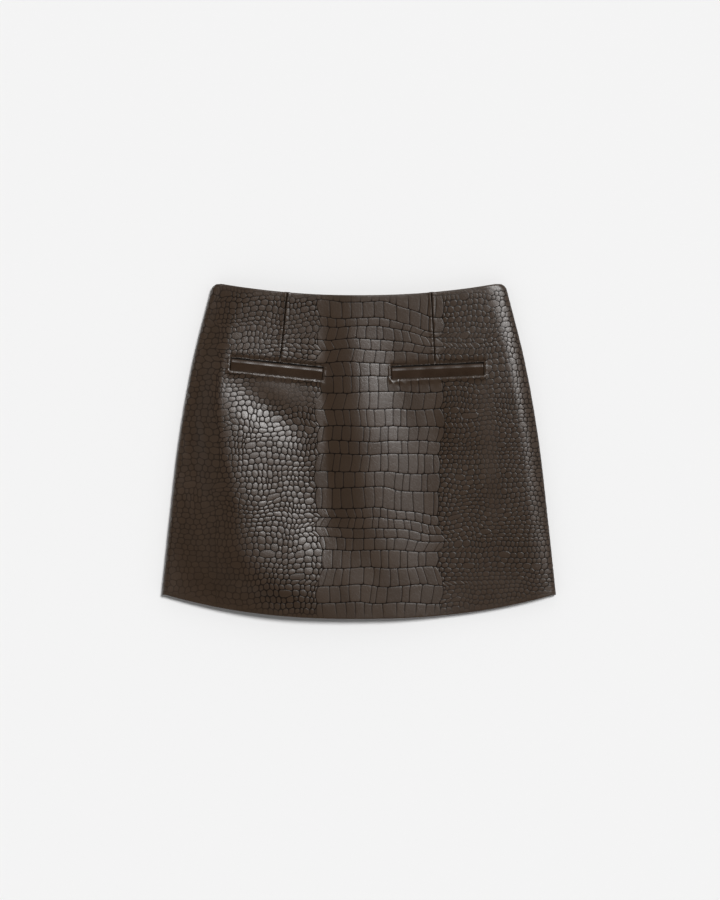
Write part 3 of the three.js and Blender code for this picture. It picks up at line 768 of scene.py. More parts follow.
def closed_leather(name, chart, layers, outer_at, inner_at, welded, spacing, inside):
    """Makes the cut piece a closed wall: the pressed face outside, a plain one inside, joined at every edge.

    welded says which edge points are shared by both faces, because the leather is turned in there.
    """
    without_hairs(chart)
    chart.verts.index_update()
    places = np.array([vertex.co[:2] for vertex in chart.verts])
    values = [np.array([vertex[layer] for vertex in chart.verts]) for layer in layers]
    outer, shown_relief = outer_at(places, values[0], values[1])
    rim = [edge for edge in chart.edges if edge.is_boundary]
    rim_numbers = sorted({vertex.index for edge in rim for vertex in edge.verts})
    x_range = np.arange(places[:, 0].min() + spacing / 2, places[:, 0].max(), spacing)
    y_range = np.arange(places[:, 1].min() + spacing / 2, places[:, 1].max(), spacing)
    grid = np.array([(x, y) for x in x_range for y in y_range])
    grid = grid[inside(grid, 3)]
    rim_places = places[rim_numbers]
    on_rim = {number: i for i, number in enumerate(rim_numbers)}
    loose = [Vector(place) for place in np.vstack([rim_places, grid])]
    edges = [(on_rim[edge.verts[0].index], on_rim[edge.verts[1].index]) for edge in rim]
    flat, drawn, triangles, origin, sources_of, _ = delaunay_2d_cdt(loose, edges, [], 0, 1e-5)
    flat = np.array([tuple(place) for place in flat])
    walls = {frozenset(edge) for edge, sources in zip(drawn, sources_of) if sources}
    triangles = triangles_between(flat, triangles, walls, inside)
    inner = inner_at(flat)
    lining = {}
    vertices = [tuple(place) for place in outer]
    relief, tint, flesh = list(shown_relief), list(values[2]), [0] * len(outer)
    for i, sources in enumerate(origin):
        first = sources[0] if sources else -1
        if 0 <= first < len(rim_numbers) and welded(flat[i]):
            lining[i] = rim_numbers[first]
            continue
        lining[i] = len(vertices)
        vertices.append(tuple(inner[i]))
        relief.append(1)
        tint.append(0.5)
        flesh.append(1)
    faces = [[vertex.index for vertex in face.verts] for face in chart.faces]
    faces += [[lining[c], lining[b], lining[a]] for a, b, c in triangles]
    under = {}
    for i, sources in enumerate(origin):
        for source in sources:
            if source < len(rim_numbers):
                under[rim_numbers[source]] = lining[i]
    for edge in rim:
        loop = edge.link_loops[0]
        a, b = loop.vert.index, loop.link_loop_next.vert.index
        wall = [b, a, under[a], under[b]]
        corners = [corner for i, corner in enumerate(wall) if corner not in wall[:i]]
        if len(corners) > 2:
            faces.append(corners)
    mesh = bpy.data.meshes.new(name)
    mesh.from_pydata([tuple(MM * c for c in v) for v in vertices], [], faces)
    mesh.validate()
    for title, numbers in (("relief", relief), ("tint", tint), ("flesh", flesh)):
        attribute = mesh.attributes.new(title, "FLOAT", "POINT")
        attribute.data.foreach_set("value", np.array(numbers, "f"))
    mesh.polygons.foreach_set("use_smooth", [True] * len(mesh.polygons))
    flattened(mesh)
    return placed(name, mesh)


# Fine wavering veins run over the glazed face, closer together up and down than across
VEIN_STRETCH, VEIN_WOBBLE, VEIN_WIDTH, VEINS_A_METRE = (1.3, 0.6, 1), (0.009, 0.009, 0.009), 0.07, 230
FLESH_BROWN = (0.09, 0.07, 0.055, 1)


def croc_leather(name, dark, bright, roughness):
    """Glazed brown leather, darker and duller in the grooves, partly from dye pooled there and partly as
    painted shade. Each scale differs a little from the next.
    """
    finish = Finish(name)
    place = finish.node("ShaderNodeTexCoord", output=3)
    relief = finish.node("ShaderNodeAttribute", {"attribute_name": "relief"}, output=2)
    tint = finish.node("ShaderNodeAttribute", {"attribute_name": "tint"}, output=2)
    flesh = finish.node("ShaderNodeAttribute", {"attribute_name": "flesh"}, output=2)
    clouds = finish.node("ShaderNodeTexNoise", {}, {"Vector": place, "Scale": 22, "Detail": 3})
    fibres = finish.node("ShaderNodeTexNoise", {}, {"Vector": place, "Scale": 900, "Detail": 2})
    pores = finish.node("ShaderNodeTexVoronoi", {}, {"Vector": place, "Scale": 620})
    wrinkles = finish.node("ShaderNodeTexNoise", {}, {"Vector": place, "Scale": 260, "Detail": 4})
    wobble = finish.node("ShaderNodeTexNoise", {}, {"Vector": place, "Scale": 70, "Detail": 2}, output=1)
    drawn = finish.node("ShaderNodeVectorMath", {"operation": "MULTIPLY"}, {0: place, 1: VEIN_STRETCH})
    sockets = {0: wobble, 1: VEIN_WOBBLE, 2: drawn}
    bent = finish.node("ShaderNodeVectorMath", {"operation": "MULTIPLY_ADD"}, sockets)
    sockets = {"Vector": bent, "Scale": VEINS_A_METRE}
    veins = finish.node("ShaderNodeTexVoronoi", {"feature": "DISTANCE_TO_EDGE"}, sockets)
    crackle = veins.join("MINIMUM", veins, VEIN_WIDTH) * (1 / VEIN_WIDTH)
    # Low relief darkens the colour: partly dye pooled in the grooves, partly painted shade. Tint, clouds,
    # wrinkles and veins are the leather's own uneven tone.
    shade = relief * 0.8 + tint * 0.14 + clouds * 0.24 + wrinkles * 0.1 + crackle * 0.06 - 0.25
    colour = finish.mixed(flesh, finish.mixed(shade, dark, bright), FLESH_BROWN)
    dullness = roughness + 0.1 * (fibres - 0.5) + 0.14 * (clouds - 0.5) + 0.3 * flesh
    height = wrinkles * 0.55 + pores * 0.25 + fibres * 0.1 + crackle * 0.3
    bump = finish.node("ShaderNodeBump", {}, {"Height": height, "Strength": 0.45, "Distance": 0.0002})
    face = finish.node(
        "ShaderNodeBsdfPrincipled",
        {},
        {"Base Color": colour, "Roughness": dullness, "Normal": bump, "Specular IOR Level": 0.42},
    )
    # The grooves: a dark, dull shader mixed in where relief is low, partly dye and partly painted shade, with
    # the sheen taken away.
    groove = finish.node(
        "ShaderNodeBsdfPrincipled", {}, {"Base Color": dark, "Roughness": 0.9, "Specular IOR Level": 0.04}
    )
    return finish.finished(finish.node("ShaderNodeMixShader", {}, {0: relief, 1: groove, 2: face}))


def to_window(pocket, x, y):
    """How far a place lies outside a pocket's window, less than 0 inside it, and how far below its middle."""
    along, below = in_pocket(pocket, x, y)
    past_end = np.abs(along) - POCKET_LENGTH / 2
    past_edge = np.abs(below - WINDOW_DEPTH / 2) - WINDOW_DEPTH / 2
    outside = np.hypot(np.maximum(past_end, 0), np.maximum(past_edge, 0))
    return np.where((past_end < 0) & (past_edge < 0), np.maximum(past_end, past_edge), outside), below


def front_depths(places):
    """How deep places of the chart lie inside the front's waist, hem, left and right edge."""
    across, y = places[:, 0], places[:, 1]
    edge_down = np.clip((waist_y(1) - y) / SIDE_LENGTH, 0, 1)
    widest = half_width(edge_down) - FRONT_ROLL + FRONT_ROLL * math.pi / 2
    share = seam_share(across, y, FRONT_ROLL)
    past = EDGE_ROLL * (math.pi / 2 - 1)
    return np.stack([waist_y(share) + past - y, y - hem_y(share) + past, widest + across, widest - across])


def on_front(places, margin):
    """Whether places are on the cut front, clear of its edges and of the pocket windows by the margin."""
    keep = front_depths(places).min(axis=0) > margin - 1e-3
    for pocket in POCKETS:
        keep &= to_window(pocket, places[:, 0], places[:, 1])[0] > margin - 1e-3
    return keep


# How the panel meets the pockets and darts: it rolls down into the mouth of a pocket and stands up in a lip
# below it and a low rim at the ends. A dart is a sewn groove with the leather swelling a little beside it.
MOUTH_ROLL, MOUTH_ROLL_WIDTH = 1.3, 3.4
LIP_FOOT, LIP_FOOT_WIDTH, LIP_SLOPE, LIP_WIDTH = 0.7, 0.6, 0.2, 5
END_RIM, END_RIM_AWAY, END_RIM_WIDTH = 0.6, 2, 1.4
LIP_SMOOTH = 7
DIP_DEPTH, DIP_WIDTH = 0.8, 0.34
DART_DEPTH, DART_WIDTH, DART_SWELL, DART_SWELL_AWAY, DART_SWELL_WIDTH = 1.4, 0.42, 0.4, 1.9, 1.2


def window_edge(pocket, x, y):
    """How far the panel stands up round a pocket's window, and how much of the grain is left there."""
    along, below = in_pocket(pocket, x, y)
    past_end = np.maximum(np.abs(along) - POCKET_LENGTH / 2, 0)
    above, under = np.maximum(-below, 0), np.maximum(below - WINDOW_DEPTH, 0)
    at_length = np.exp(-((past_end / 2.2) ** 2))
    lip = LIP_FOOT * (1 - np.exp(-under / LIP_FOOT_WIDTH)) + LIP_SLOPE * under
    lip = lip * np.exp(-((under / LIP_WIDTH) ** 3)) * (below > WINDOW_DEPTH)
    roll = MOUTH_ROLL * np.exp(-((above / MOUTH_ROLL_WIDTH) ** 2)) * (below < 0)
    beside = np.exp(-(((np.maximum(above, under)) / 2) ** 2)) * (past_end > 0)
    rim = END_RIM * np.exp(-(((past_end - END_RIM_AWAY) / END_RIM_WIDTH) ** 2)) * beside
    away, _ = to_window(pocket, x, y)
    return at_length * (lip - roll) + rim, 0.04 + 0.96 * step_between(away, 1, LIP_SMOOTH), away


def ironed(share, y):
    """How much of the grain's depth is left near the turned waist and hem."""
    to_edge = np.minimum(waist_y(share) - y, y - hem_y(share))
    pressed = IRONED_DEPTH * step_between(to_edge, 0, IRONED_EDGE)
    return pressed + (1 - IRONED_DEPTH) * step_between(to_edge, IRONED_EDGE, IRONED_EDGE + IRONED_SPAN)


def front_outer(places, height, relief):
    """The pressed face of the front in space, and its relief: how far each point is up from the painted shade
    of its groove, dart or window seam.
    """
    across, y = places[:, 0], places[:, 1]
    leaned = across + FAINT_LEFT_LEAN * np.minimum(y, 0)
    left = step_between(leaned, FAINT_LEFT - FAINT_LEFT_SPAN / 2, FAINT_LEFT + FAINT_LEFT_SPAN / 2)
    right = step_between(across, FAINT_RIGHT - FAINT_RIGHT_SPAN / 2, FAINT_RIGHT + FAINT_RIGHT_SPAN / 2)
    strength = (FAINT_LEFT_DEPTH + (1 - FAINT_LEFT_DEPTH) * left) * (1 - (1 - FAINT_RIGHT_DEPTH) * right)
    strength = strength * ironed(np.clip(np.abs(across) / half_width(down_at(across, y)), 0, 1), y)
    seam_dip_and_shade = np.zeros(len(places))
    rise = np.zeros(len(places))
    for spot in FAINT_SPOTS:
        turn = math.radians(spot["turn"])
        dx, dy = across - spot["middle"][0], y - spot["middle"][1]
        u = (dx * math.cos(turn) + dy * math.sin(turn)) / spot["reach"][0]
        v = (dy * math.cos(turn) - dx * math.sin(turn)) / spot["reach"][1]
        strength = strength * (1 - (1 - spot["depth"]) * np.exp(-((u * u + v * v) ** 2)))
    for pocket in POCKETS:
        stand, left_over, away = window_edge(pocket, across, y)
        strength = strength * left_over
        dip = np.exp(-((away / DIP_WIDTH) ** 2))
        rise = rise + stand - DIP_DEPTH * dip
        seam_dip_and_shade = np.maximum(seam_dip_and_shade, dip)
    for dart in DARTS:
        away, _ = along_line(across, y, [dart["top"], dart["foot"]])
        dip = np.exp(-((away / DART_WIDTH) ** 2))
        rise = rise - DART_DEPTH * dip
        rise = rise + DART_SWELL * np.exp(-(((away - DART_SWELL_AWAY) / DART_SWELL_WIDTH) ** 2))
        seam_dip_and_shade = np.maximum(seam_dip_and_shade, dip)
    rise = rise + height * strength
    # Painted shade: the grooves stay dark even where the grain is shallow, and the dart seams and the seams
    # round the pocket windows are painted dark along their dips.
    shown = (1 - (1 - relief) * strength**0.6) * (1 - seam_dip_and_shade)
    return front_point(across, y) + outward(front_point, across, y) * rise[:, None], shown


def wall_at(down):
    turned = np.maximum(
        np.clip((WAIST_TURN - down * SIDE_LENGTH) / TURN_STEP, 0, 1),
        np.clip((HEM_TURN - (1 - down) * SIDE_LENGTH) / TURN_STEP, 0, 1),
    )
    return LEATHER + (TURNED_LEATHER - LEATHER) * turned


def front_inner(places):
    """The plain face under the front, a wall's thickness in."""
    across, y = places[:, 0], places[:, 1]
    deep = wall_at(down_at(across, y))
    return front_point(across, y) - outward(front_point, across, y) * deep[:, None]


def turned_edge(roll):
    """Tells which points of the rim are on the turned waist or hem, where both faces meet."""

    def turned(place):
        share = seam_share(place[:1], place[1:], roll)[0]
        past = EDGE_ROLL * (math.pi / 2 - 1) - 0.02
        return bool(place[1] > waist_y(share) + past or place[1] < hem_y(share) - past)

    return turned


# The chart is cut along darts and windows, and beside them, so that their grooves and lips come out crisp
DART_CUTS, WINDOW_CUTS, SCORE_REACH = (-1, -0.4, 0, 0.4, 1), (0, -0.5, -3.4), 4
CHART_MARGIN, LINING_STEP = 9, 9
# SKIRT_BROWN_DARK is the grooves' colour: partly dye, partly painted shade.
SKIRT_BROWN_DARK, SKIRT_BROWN_BRIGHT = (0.006, 0.0038, 0.0024, 1), (0.042, 0.025, 0.0145, 1)
front_grain = Grain(BELLY_ROWS, GRAIN_ZONES, GRAIN_END, GRAIN_TOP, seed=5)
front_chart, front_layers = grain_mesh(
    front_grain, lambda places: front_depths(places).min(axis=0) > -CHART_MARGIN
)
trimmed(front_chart, front_depths)
for dart in DARTS:
    for offset in DART_CUTS:
        scored(front_chart, dart["top"], dart["foot"], SCORE_REACH, offset)
for pocket in POCKETS:
    half = POCKET_LENGTH / 2
    corners = [(-half, 0), (-half, WINDOW_DEPTH), (half, WINDOW_DEPTH), (half, 0)]
    window = [pocket_point(pocket, along, below) for along, below in corners]
    for offset in WINDOW_CUTS:
        for start, end in zip(window, window[1:] + window[:1]):
            scored(front_chart, start, end, SCORE_REACH, offset)
    middles = np.array([face.calc_center_median()[:2] for face in front_chart.faces])
    cut_out = to_window(pocket, middles[:, 0], middles[:, 1])[0] < 0
    gone = [face for face, cut in zip(front_chart.faces, cut_out) if cut]
    bmesh.ops.delete(front_chart, geom=gone, context="FACES")
front = closed_leather(
    "front_leather", front_chart, front_layers, front_outer, front_inner, turned_edge(FRONT_ROLL),
    LINING_STEP, on_front,
)
front_chart.free()
skirt_leather = croc_leather("croc_leather", SKIRT_BROWN_DARK, SKIRT_BROWN_BRIGHT, 0.335)
front.data.materials.append(skirt_leather)
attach(front, "skirt")
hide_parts("front_panel")


# Each pocket has one welt: a strip of smooth leather folded double, set in the window with its fold at
# the mouth, and sewn in along the window's foot and ends. Its profile runs down the strip from the mouth:
# how far below the mouth, and how deep under the panel's face. The facing closes the mouth from behind.
WELT_PROFILE = [
    (2.2, 2.1), (1.85, 1.7), (1.8, 1.3), (1.95, 0.8), (2.4, 0.45), (3.2, 0.2), (4.2, -0.04), (5.2, -0.25),
    (5.8, -0.28), (6.8, 0.05), (9, 0.65), (12, 1.3), (13.9, 1.75), (15.3, 1.95), (17, 1.95), (20.7, 1.95),
    (21, 2.15), (21, 2.75), (20.6, 3), (14, 3), (8, 2.85), (3.4, 2.65), (2.6, 2.55), (2.3, 2.35),
]
FACING_PROFILE = [
    (-8, 2), (-7.8, 1.85), (-4, 1.85), (-0.6, 1.85), (0.4, 2.3), (1.4, 3.2), (7, 3.35), (12.8, 3.4),
    (13, 3.6), (13, 4.2), (12.8, 4.4), (7, 4.35), (0.9, 4.2), (-0.3, 3.4), (-1.2, 2.85), (-4, 2.8),
    (-7.8, 2.8), (-8, 2.65),
]
FACING_PAST_WINDOW = 3
STRIP_STEP = 1.4
WELT_SWAY, WELT_SWAY_LENGTH = 0.14, 23
WELT_BROWN_DARK, WELT_BROWN_BRIGHT = (0.019, 0.0102, 0.0054, 1), (0.043, 0.0243, 0.0132, 1)
FACING_BROWN_DARK, FACING_BROWN_BRIGHT = (0.012, 0.009, 0.007, 1), (0.022, 0.016, 0.012, 1)


def shell(name, points, faces):
    """A closed mesh whose faces all look outwards."""
    mesh = bpy.data.meshes.new(name)
    mesh.from_pydata(points, [], faces)
    shaped = bmesh.new()
    shaped.from_mesh(mesh)
    bmesh.ops.recalc_face_normals(shaped, faces=shaped.faces)
    shaped.to_mesh(mesh)
    shaped.free()
    return mesh


def ring_mesh(name, rings):
    """A closed bar through rings of points, with its two ends filled."""
    around = len(rings[0])
    points = [tuple(MM * c for c in point) for ring in rings for point in ring]
    faces = [tuple(range(around))[::-1], tuple(range((len(rings) - 1) * around, len(rings) * around))]
    for r in range(len(rings) - 1):
        for i in range(around):
            a, b = r * around + i, r * around + (i + 1) % around
            faces.append((a, b, b + around, a + around))
    mesh = shell(name, points, faces)
    for face in mesh.polygons:
        face.use_smooth = len(face.vertices) == 4
    return mesh


def pocket_strip(name, pocket, profile, length):
    """A strip carried along a pocket, under the panel's face, that sways a little as sewn leather does."""
    rings = []
    for along in np.linspace(-length / 2, length / 2, round(length / STRIP_STEP)):
        below = np.array([point[0] for point in profile])
        sway = WELT_SWAY * math.sin(2 * math.pi * along / WELT_SWAY_LENGTH + pocket["middle"][0])
        deep = np.array([point[1] for point in profile]) + sway
        x, y = pocket_point(pocket, along, below)
        rings.append(front_point(x, y) - outward(front_point, x, y) * deep[:, None])
    return placed(name, ring_mesh(name, rings))


def smooth_leather(name, dark, bright, roughness):
    """Plain glazed leather with a fine pebble, for strips cut from the hide's flat edge."""
    finish = Finish(name)
    place = finish.node("ShaderNodeTexCoord", output=3)
    clouds = finish.node("ShaderNodeTexNoise", {}, {"Vector": place, "Scale": 60, "Detail": 3})
    pebble = finish.node("ShaderNodeTexVoronoi", {}, {"Vector": place, "Scale": 900})
    wrinkles = finish.node("ShaderNodeTexNoise", {}, {"Vector": place, "Scale": 320, "Detail": 4})
    colour = finish.mixed(clouds * 0.8 + pebble * 0.2, dark, bright)
    dullness = roughness + 0.2 * (clouds - 0.5) + 0.08 * pebble
    height = wrinkles * 0.7 + pebble * 0.3
    bump = finish.node("ShaderNodeBump", {}, {"Height": height, "Strength": 0.4, "Distance": 0.0002})
    return finish.finished(finish.node(
        "ShaderNodeBsdfPrincipled",
        {},
        {"Base Color": colour, "Roughness": dullness, "Normal": bump, "Specular IOR Level": 0.36},
    ))


welt_leather = smooth_leather("welt_leather", WELT_BROWN_DARK, WELT_BROWN_BRIGHT, 0.3)
facing_leather = smooth_leather("facing_leather", FACING_BROWN_DARK, FACING_BROWN_BRIGHT, 0.6)
for pocket in POCKETS:
    side = pocket["side"]
    welt_length = POCKET_LENGTH - 2 * SEAM_GAP
    facing_length = POCKET_LENGTH + 2 * FACING_PAST_WINDOW
    welt = pocket_strip("folded_welt_" + side, pocket, WELT_PROFILE, welt_length)
    welt.data.materials.append(welt_leather)
    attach(welt, "skirt")
    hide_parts("pocket_welt_" + side)
    facing = pocket_strip("mouth_facing_" + side, pocket, FACING_PROFILE, facing_length)
    facing.data.materials.append(facing_leather)
    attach(facing, "skirt")
    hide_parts("pocket_facing_" + side)

# The back is two pieces of the same leather, flat on the table, sewn together down the centre and to the
# front at the sides, with a dart in each. Past the seam's head the leather lifts a little over the zip's tab.
BACK_DARTS = [dict(top=(-78, 190), foot=(-84, 95)), dict(top=(78, 190), foot=(84, 95))]
BACK_DART_DEPTH = 0.9
SEAM_DIP, SEAM_DIP_WIDTH = 0.5, 0.9
BACK_RISE = 0.32
SLIDER_Y = 175
TAB_LENGTH = 24
DIMPLE_HEIGHT, DIMPLE_HALF_WIDTH, DIMPLE_SLOPE, DIMPLE_BEYOND_TAB = 1.6, 3.4, 7, 3
NOTCH_HALF_WIDTH, NOTCH_LENGTH = 2.4, 6
BACK_ROWS = [dict(row, drop=0) for row in reversed(BELLY_ROWS)]
FLANK, BELLY, FAR_FLANK = GRAIN_ZONES[1:]
BACK_GRAIN = {
    "left": ([(FLANK, -14), (BELLY, 42), (FAR_FLANK, 172)], 254, 11),
    "right": ([(FAR_FLANK, -254), (BELLY, -174), (FLANK, -45)], 14, 23),
}


def dimple_at(x, y):
    middle = SLIDER_Y - TAB_LENGTH / 2
    past_side = np.maximum(np.abs(x) - DIMPLE_HALF_WIDTH, 0)
    past_end = np.maximum(np.abs(y - middle) - TAB_LENGTH / 2 - DIMPLE_BEYOND_TAB, 0)
    away = np.clip(np.hypot(past_side, past_end) / DIMPLE_SLOPE, 0, 1)
    return DIMPLE_HEIGHT * (1 - ease(away))


def back_point(across, y):
    """The outer face of the back over a place of the cut pieces, which are charted as seen from below."""
    down = down_at(np.clip(np.abs(across), 0, half_width(down_at(np.abs(across), y)) - BACK_ROLL), y)
    flat = half_width(down) - BACK_ROLL
    plan = np.clip(np.abs(across), 0, flat)
    inner, turn = edge_turn(plan / (flat + BACK_ROLL), y)
    roll = np.clip((np.abs(across) - flat) / BACK_ROLL, 0, math.pi / 2)
    x = plan + BACK_ROLL * np.sin(roll)
    z = dimple_at(plan, inner) + BACK_ROLL * (1 - np.cos(roll)) + EDGE_ROLL * (1 - np.cos(turn))
    return np.stack([-np.sign(across) * x, inner + EDGE_ROLL * np.sin(turn), z], axis=-1)


def back_outer(places, height, relief):
    """The pressed face of the back in space, and its relief: how far each point is up from the painted shade
    of its groove, dart or centre seam.
    """
    across, y = places[:, 0], places[:, 1]
    strength = ironed(np.clip(np.abs(across) / half_width(down_at(np.abs(across), y)), 0, 1), y)
    seam_dip_and_shade = np.exp(-(((np.abs(across) - SEAM_GAP / 2) / SEAM_DIP_WIDTH) ** 2))
    rise = (height - BACK_RISE) * strength - SEAM_DIP * seam_dip_and_shade
    for dart in BACK_DARTS:
        away, _ = along_line(-across, y, [dart["top"], dart["foot"]])
        dip = np.exp(-((away / DART_WIDTH) ** 2))
        rise = rise - BACK_DART_DEPTH * dip
        seam_dip_and_shade = np.maximum(seam_dip_and_shade, dip)
    # Painted shade: the centre seam and the darts are painted dark along their dips, as the grooves are.
    shown = (1 - (1 - relief) * strength) * (1 - 0.8 * seam_dip_and_shade)
    return back_point(across, y) + outward(back_point, across, y) * rise[:, None], shown


def back_inner(places):
    across, y = places[:, 0], places[:, 1]
    deep = wall_at(down_at(np.abs(across), y))
    return back_point(across, y) - outward(back_point, across, y) * deep[:, None]


def back_depths(sign):
    """How deep places lie inside the edges of one back piece, on the side that sign gives."""

    def depths(places):
        across, y = places[:, 0] * sign, places[:, 1]
        edge_down = np.clip((waist_y(1) - y) / SIDE_LENGTH, 0, 1)
        widest = half_width(edge_down) - BACK_ROLL + BACK_ROLL * math.pi / 2
        share = seam_share(across, y, BACK_ROLL)
        past = EDGE_ROLL * (math.pi / 2 - 1)
        ends = waist_y(share) + past - y, y - hem_y(share) + past
        return np.stack([*ends, across - SEAM_GAP / 2, widest - across])

    return depths


def in_notch(places):
    return (np.abs(places[:, 0]) < NOTCH_HALF_WIDTH) & (np.abs(places[:, 1] - SLIDER_Y) < NOTCH_LENGTH / 2)


for side, sign in (("left", 1), ("right", -1)):
    starts, end, seed = BACK_GRAIN[side]
    zones = [dict(zone, start=start) for zone, start in starts]
    depths = back_depths(sign)
    grain = Grain(BACK_ROWS, zones, end, GRAIN_TOP, seed=seed)
    chart, layers = grain_mesh(grain, lambda places: depths(places).min(axis=0) > -CHART_MARGIN)
    trimmed(chart, depths)
    for dart in BACK_DARTS:
        if dart["top"][0] * sign < 0:
            top, foot = [(-x, y) for x, y in (dart["top"], dart["foot"])]
            for offset in DART_CUTS:
                scored(chart, top, foot, SCORE_REACH, offset)
    seam_x = sign * SEAM_GAP / 2
    notch_x = sign * NOTCH_HALF_WIDTH
    high, low = SLIDER_Y + NOTCH_LENGTH / 2, SLIDER_Y - NOTCH_LENGTH / 2
    notch = [(seam_x, high), (notch_x, high), (notch_x, low), (seam_x, low)]
    for start, stop in zip(notch, notch[1:]):
        scored(chart, start, stop, 3)
    middles = np.array([face.calc_center_median()[:2] for face in chart.faces])
    gone = [face for face, cut in zip(chart.faces, in_notch(middles)) if cut]
    bmesh.ops.delete(chart, geom=gone, context="FACES")
    back = closed_leather(
        "back_leather_" + side, chart, layers, back_outer, back_inner, turned_edge(BACK_ROLL),
        LINING_STEP,
        lambda places, margin: (depths(places).min(axis=0) > margin - 1e-3) & ~in_notch(places),
    )
    chart.free()
    back.data.materials.append(skirt_leather)
    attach(back, "skirt")
    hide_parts("back_panel_" + side)

# A concealed zip closes the back seam. Its two woven tapes lie inside along the seam, with the nylon coil
# between them, closed up to the slider.
ZIP_TOP, ZIP_LENGTH = 179, 180
TAPE_HALF_WIDTH, TAPE_THICK, TAPE_INNER_EDGE = 12, 0.8, 0.15
SLIDER_ROOM_HALF_WIDTH, SLIDER_ROOM_HALF_LENGTH = 3.3, 4.8
TAPE_ROW = 1.5
TOOTH_PITCH, TOOTH_HALF_WIDTH, TOOTH_THICK, TOOTH_HEIGHT = 1.3, 1.6, 0.5, 1.1
TAPE_BROWN_DARK, TAPE_BROWN_BRIGHT = (0.008, 0.006, 0.005, 1), (0.028, 0.021, 0.016, 1)


def tape_base(x, y):
    """The height of the tapes' lower face, just over the inside of the back."""
    return dimple_at(x, y) + wall_at(down_at(np.abs(x), y)) + SEAM_GAP


def joined_mesh(name, meshes):
    """Puts several closed shells in one mesh, and drops the single ones."""
    whole = bmesh.new()
    for mesh in meshes:
        whole.from_mesh(mesh)
    made = bpy.data.meshes.new(name)
    whole.to_mesh(made)
    whole.free()
    for mesh in meshes:
        bpy.data.meshes.remove(mesh)
    return made


def tape_half(side):
    shares = np.array([0, 0.02, 0.2, 0.45, 0.7, 0.93, 1])
    rise = np.array([0.2, 0.02, 0, 0, 0, 0.02, 0.2])
    foot = SLIDER_Y - SLIDER_ROOM_HALF_LENGTH
    rows = sorted([*np.arange(ZIP_TOP - ZIP_LENGTH, ZIP_TOP, TAPE_ROW), foot - 0.1, foot + 0.1, ZIP_TOP])
    rings = []
    for y in rows:
        start = SLIDER_ROOM_HALF_WIDTH if y > foot else TAPE_INNER_EDGE
        x = side * (start + (TAPE_HALF_WIDTH - start) * shares)
        low = tape_base(x, np.full(len(x), y))
        lower = np.stack([x, np.full(len(x), y), low + rise], axis=1)
        upper = np.stack([x, np.full(len(x), y), low + TAPE_THICK - rise], axis=1)
        rings.append(np.vstack([lower, upper[::-1]]))
    return ring_mesh("tape_half", rings)


def zip_tooth(y, lean):
    """One turn of the coil: a thick thread that runs over from one side to the other."""
    path = [(-1, 0.1), (-0.92, 0.45), (-0.6, 0.78), (0, 0.84), (0.6, 0.78), (0.92, 0.45), (1, 0.1)]
    base = float(tape_base(np.zeros(1), np.array([y]))[0]) + TAPE_THICK
    rings = []
    for share, up in path:
        x, z = share * (TOOTH_HALF_WIDTH - 0.25), base + up * (TOOTH_HEIGHT - 0.28)
        middle = np.array([x, y + lean * share, z])
        turns = np.linspace(0, 2 * math.pi, 8, endpoint=False)
        ahead = np.array([1, 0, 0]) if abs(share) < 0.9 else np.array([0.4, 0, -0.9 * np.sign(share)])
        across = np.cross(ahead, (0, 1, 0))
        across = across / np.linalg.norm(across)
        thread = np.outer(np.cos(turns), (0, TOOTH_THICK / 2, 0)) + np.outer(np.sin(turns), across * 0.26)
        rings.append(middle + thread)
    return ring_mesh("zip_tooth", rings)


def woven_tape():
    """Closely woven polyester: ribs across the tape and thinner ones along it."""
    finish = Finish("woven_tape")
    place = finish.node("ShaderNodeTexCoord", output=3)
    ribs, ends = [
        finish.node(
            "ShaderNodeTexWave",
            {"bands_direction": way},
            {"Vector": place, "Scale": scale, "Distortion": 0.6},
            output=1,
        )
        for way, scale in (("Y", 320), ("X", 210))
    ]
    fuzz = finish.node("ShaderNodeTexNoise", {}, {"Vector": place, "Scale": 1800, "Detail": 2})
    weave = ribs * 0.6 + ends * 0.4
    colour = finish.mixed(weave * 0.6 + fuzz * 0.4, TAPE_BROWN_DARK, TAPE_BROWN_BRIGHT)
    bump = finish.node("ShaderNodeBump", {}, {"Height": weave, "Strength": 0.6, "Distance": 0.0002})
    return finish.finished(finish.node(
        "ShaderNodeBsdfPrincipled", {}, {"Base Color": colour, "Roughness": 0.75 + 0.2 * fuzz, "Normal": bump}
    ))


def coil_nylon():
    finish = Finish("coil_nylon")
    place = finish.node("ShaderNodeTexCoord", output=3)
    wear = finish.node("ShaderNodeTexNoise", {}, {"Vector": place, "Scale": 500, "Detail": 3})
    colour = finish.mixed(wear, (0.01, 0.0075, 0.006, 1), (0.03, 0.023, 0.018, 1))
    return finish.finished(finish.node(
        "ShaderNodeBsdfPrincipled", {}, {"Base Color": colour, "Roughness": 0.3 + 0.25 * wear}
    ))


tapes = placed("zip_tapes", joined_mesh("zip_tapes", [tape_half(-1), tape_half(1)]))
tapes.data.materials.append(woven_tape())
coil_top, coil_foot = SLIDER_Y - SLIDER_ROOM_HALF_LENGTH - 0.6, ZIP_TOP - ZIP_LENGTH + 1
teeth = [
    zip_tooth(y, 0.25 if turn % 2 else -0.25)
    for turn, y in enumerate(np.arange(coil_foot, coil_top, TOOTH_PITCH))
]
coil = placed("zip_coil", joined_mesh("zip_coil", teeth))
coil.data.materials.append(coil_nylon())
for piece in (tapes, coil):
    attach(piece, "skirt")
    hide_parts("zip_tape")

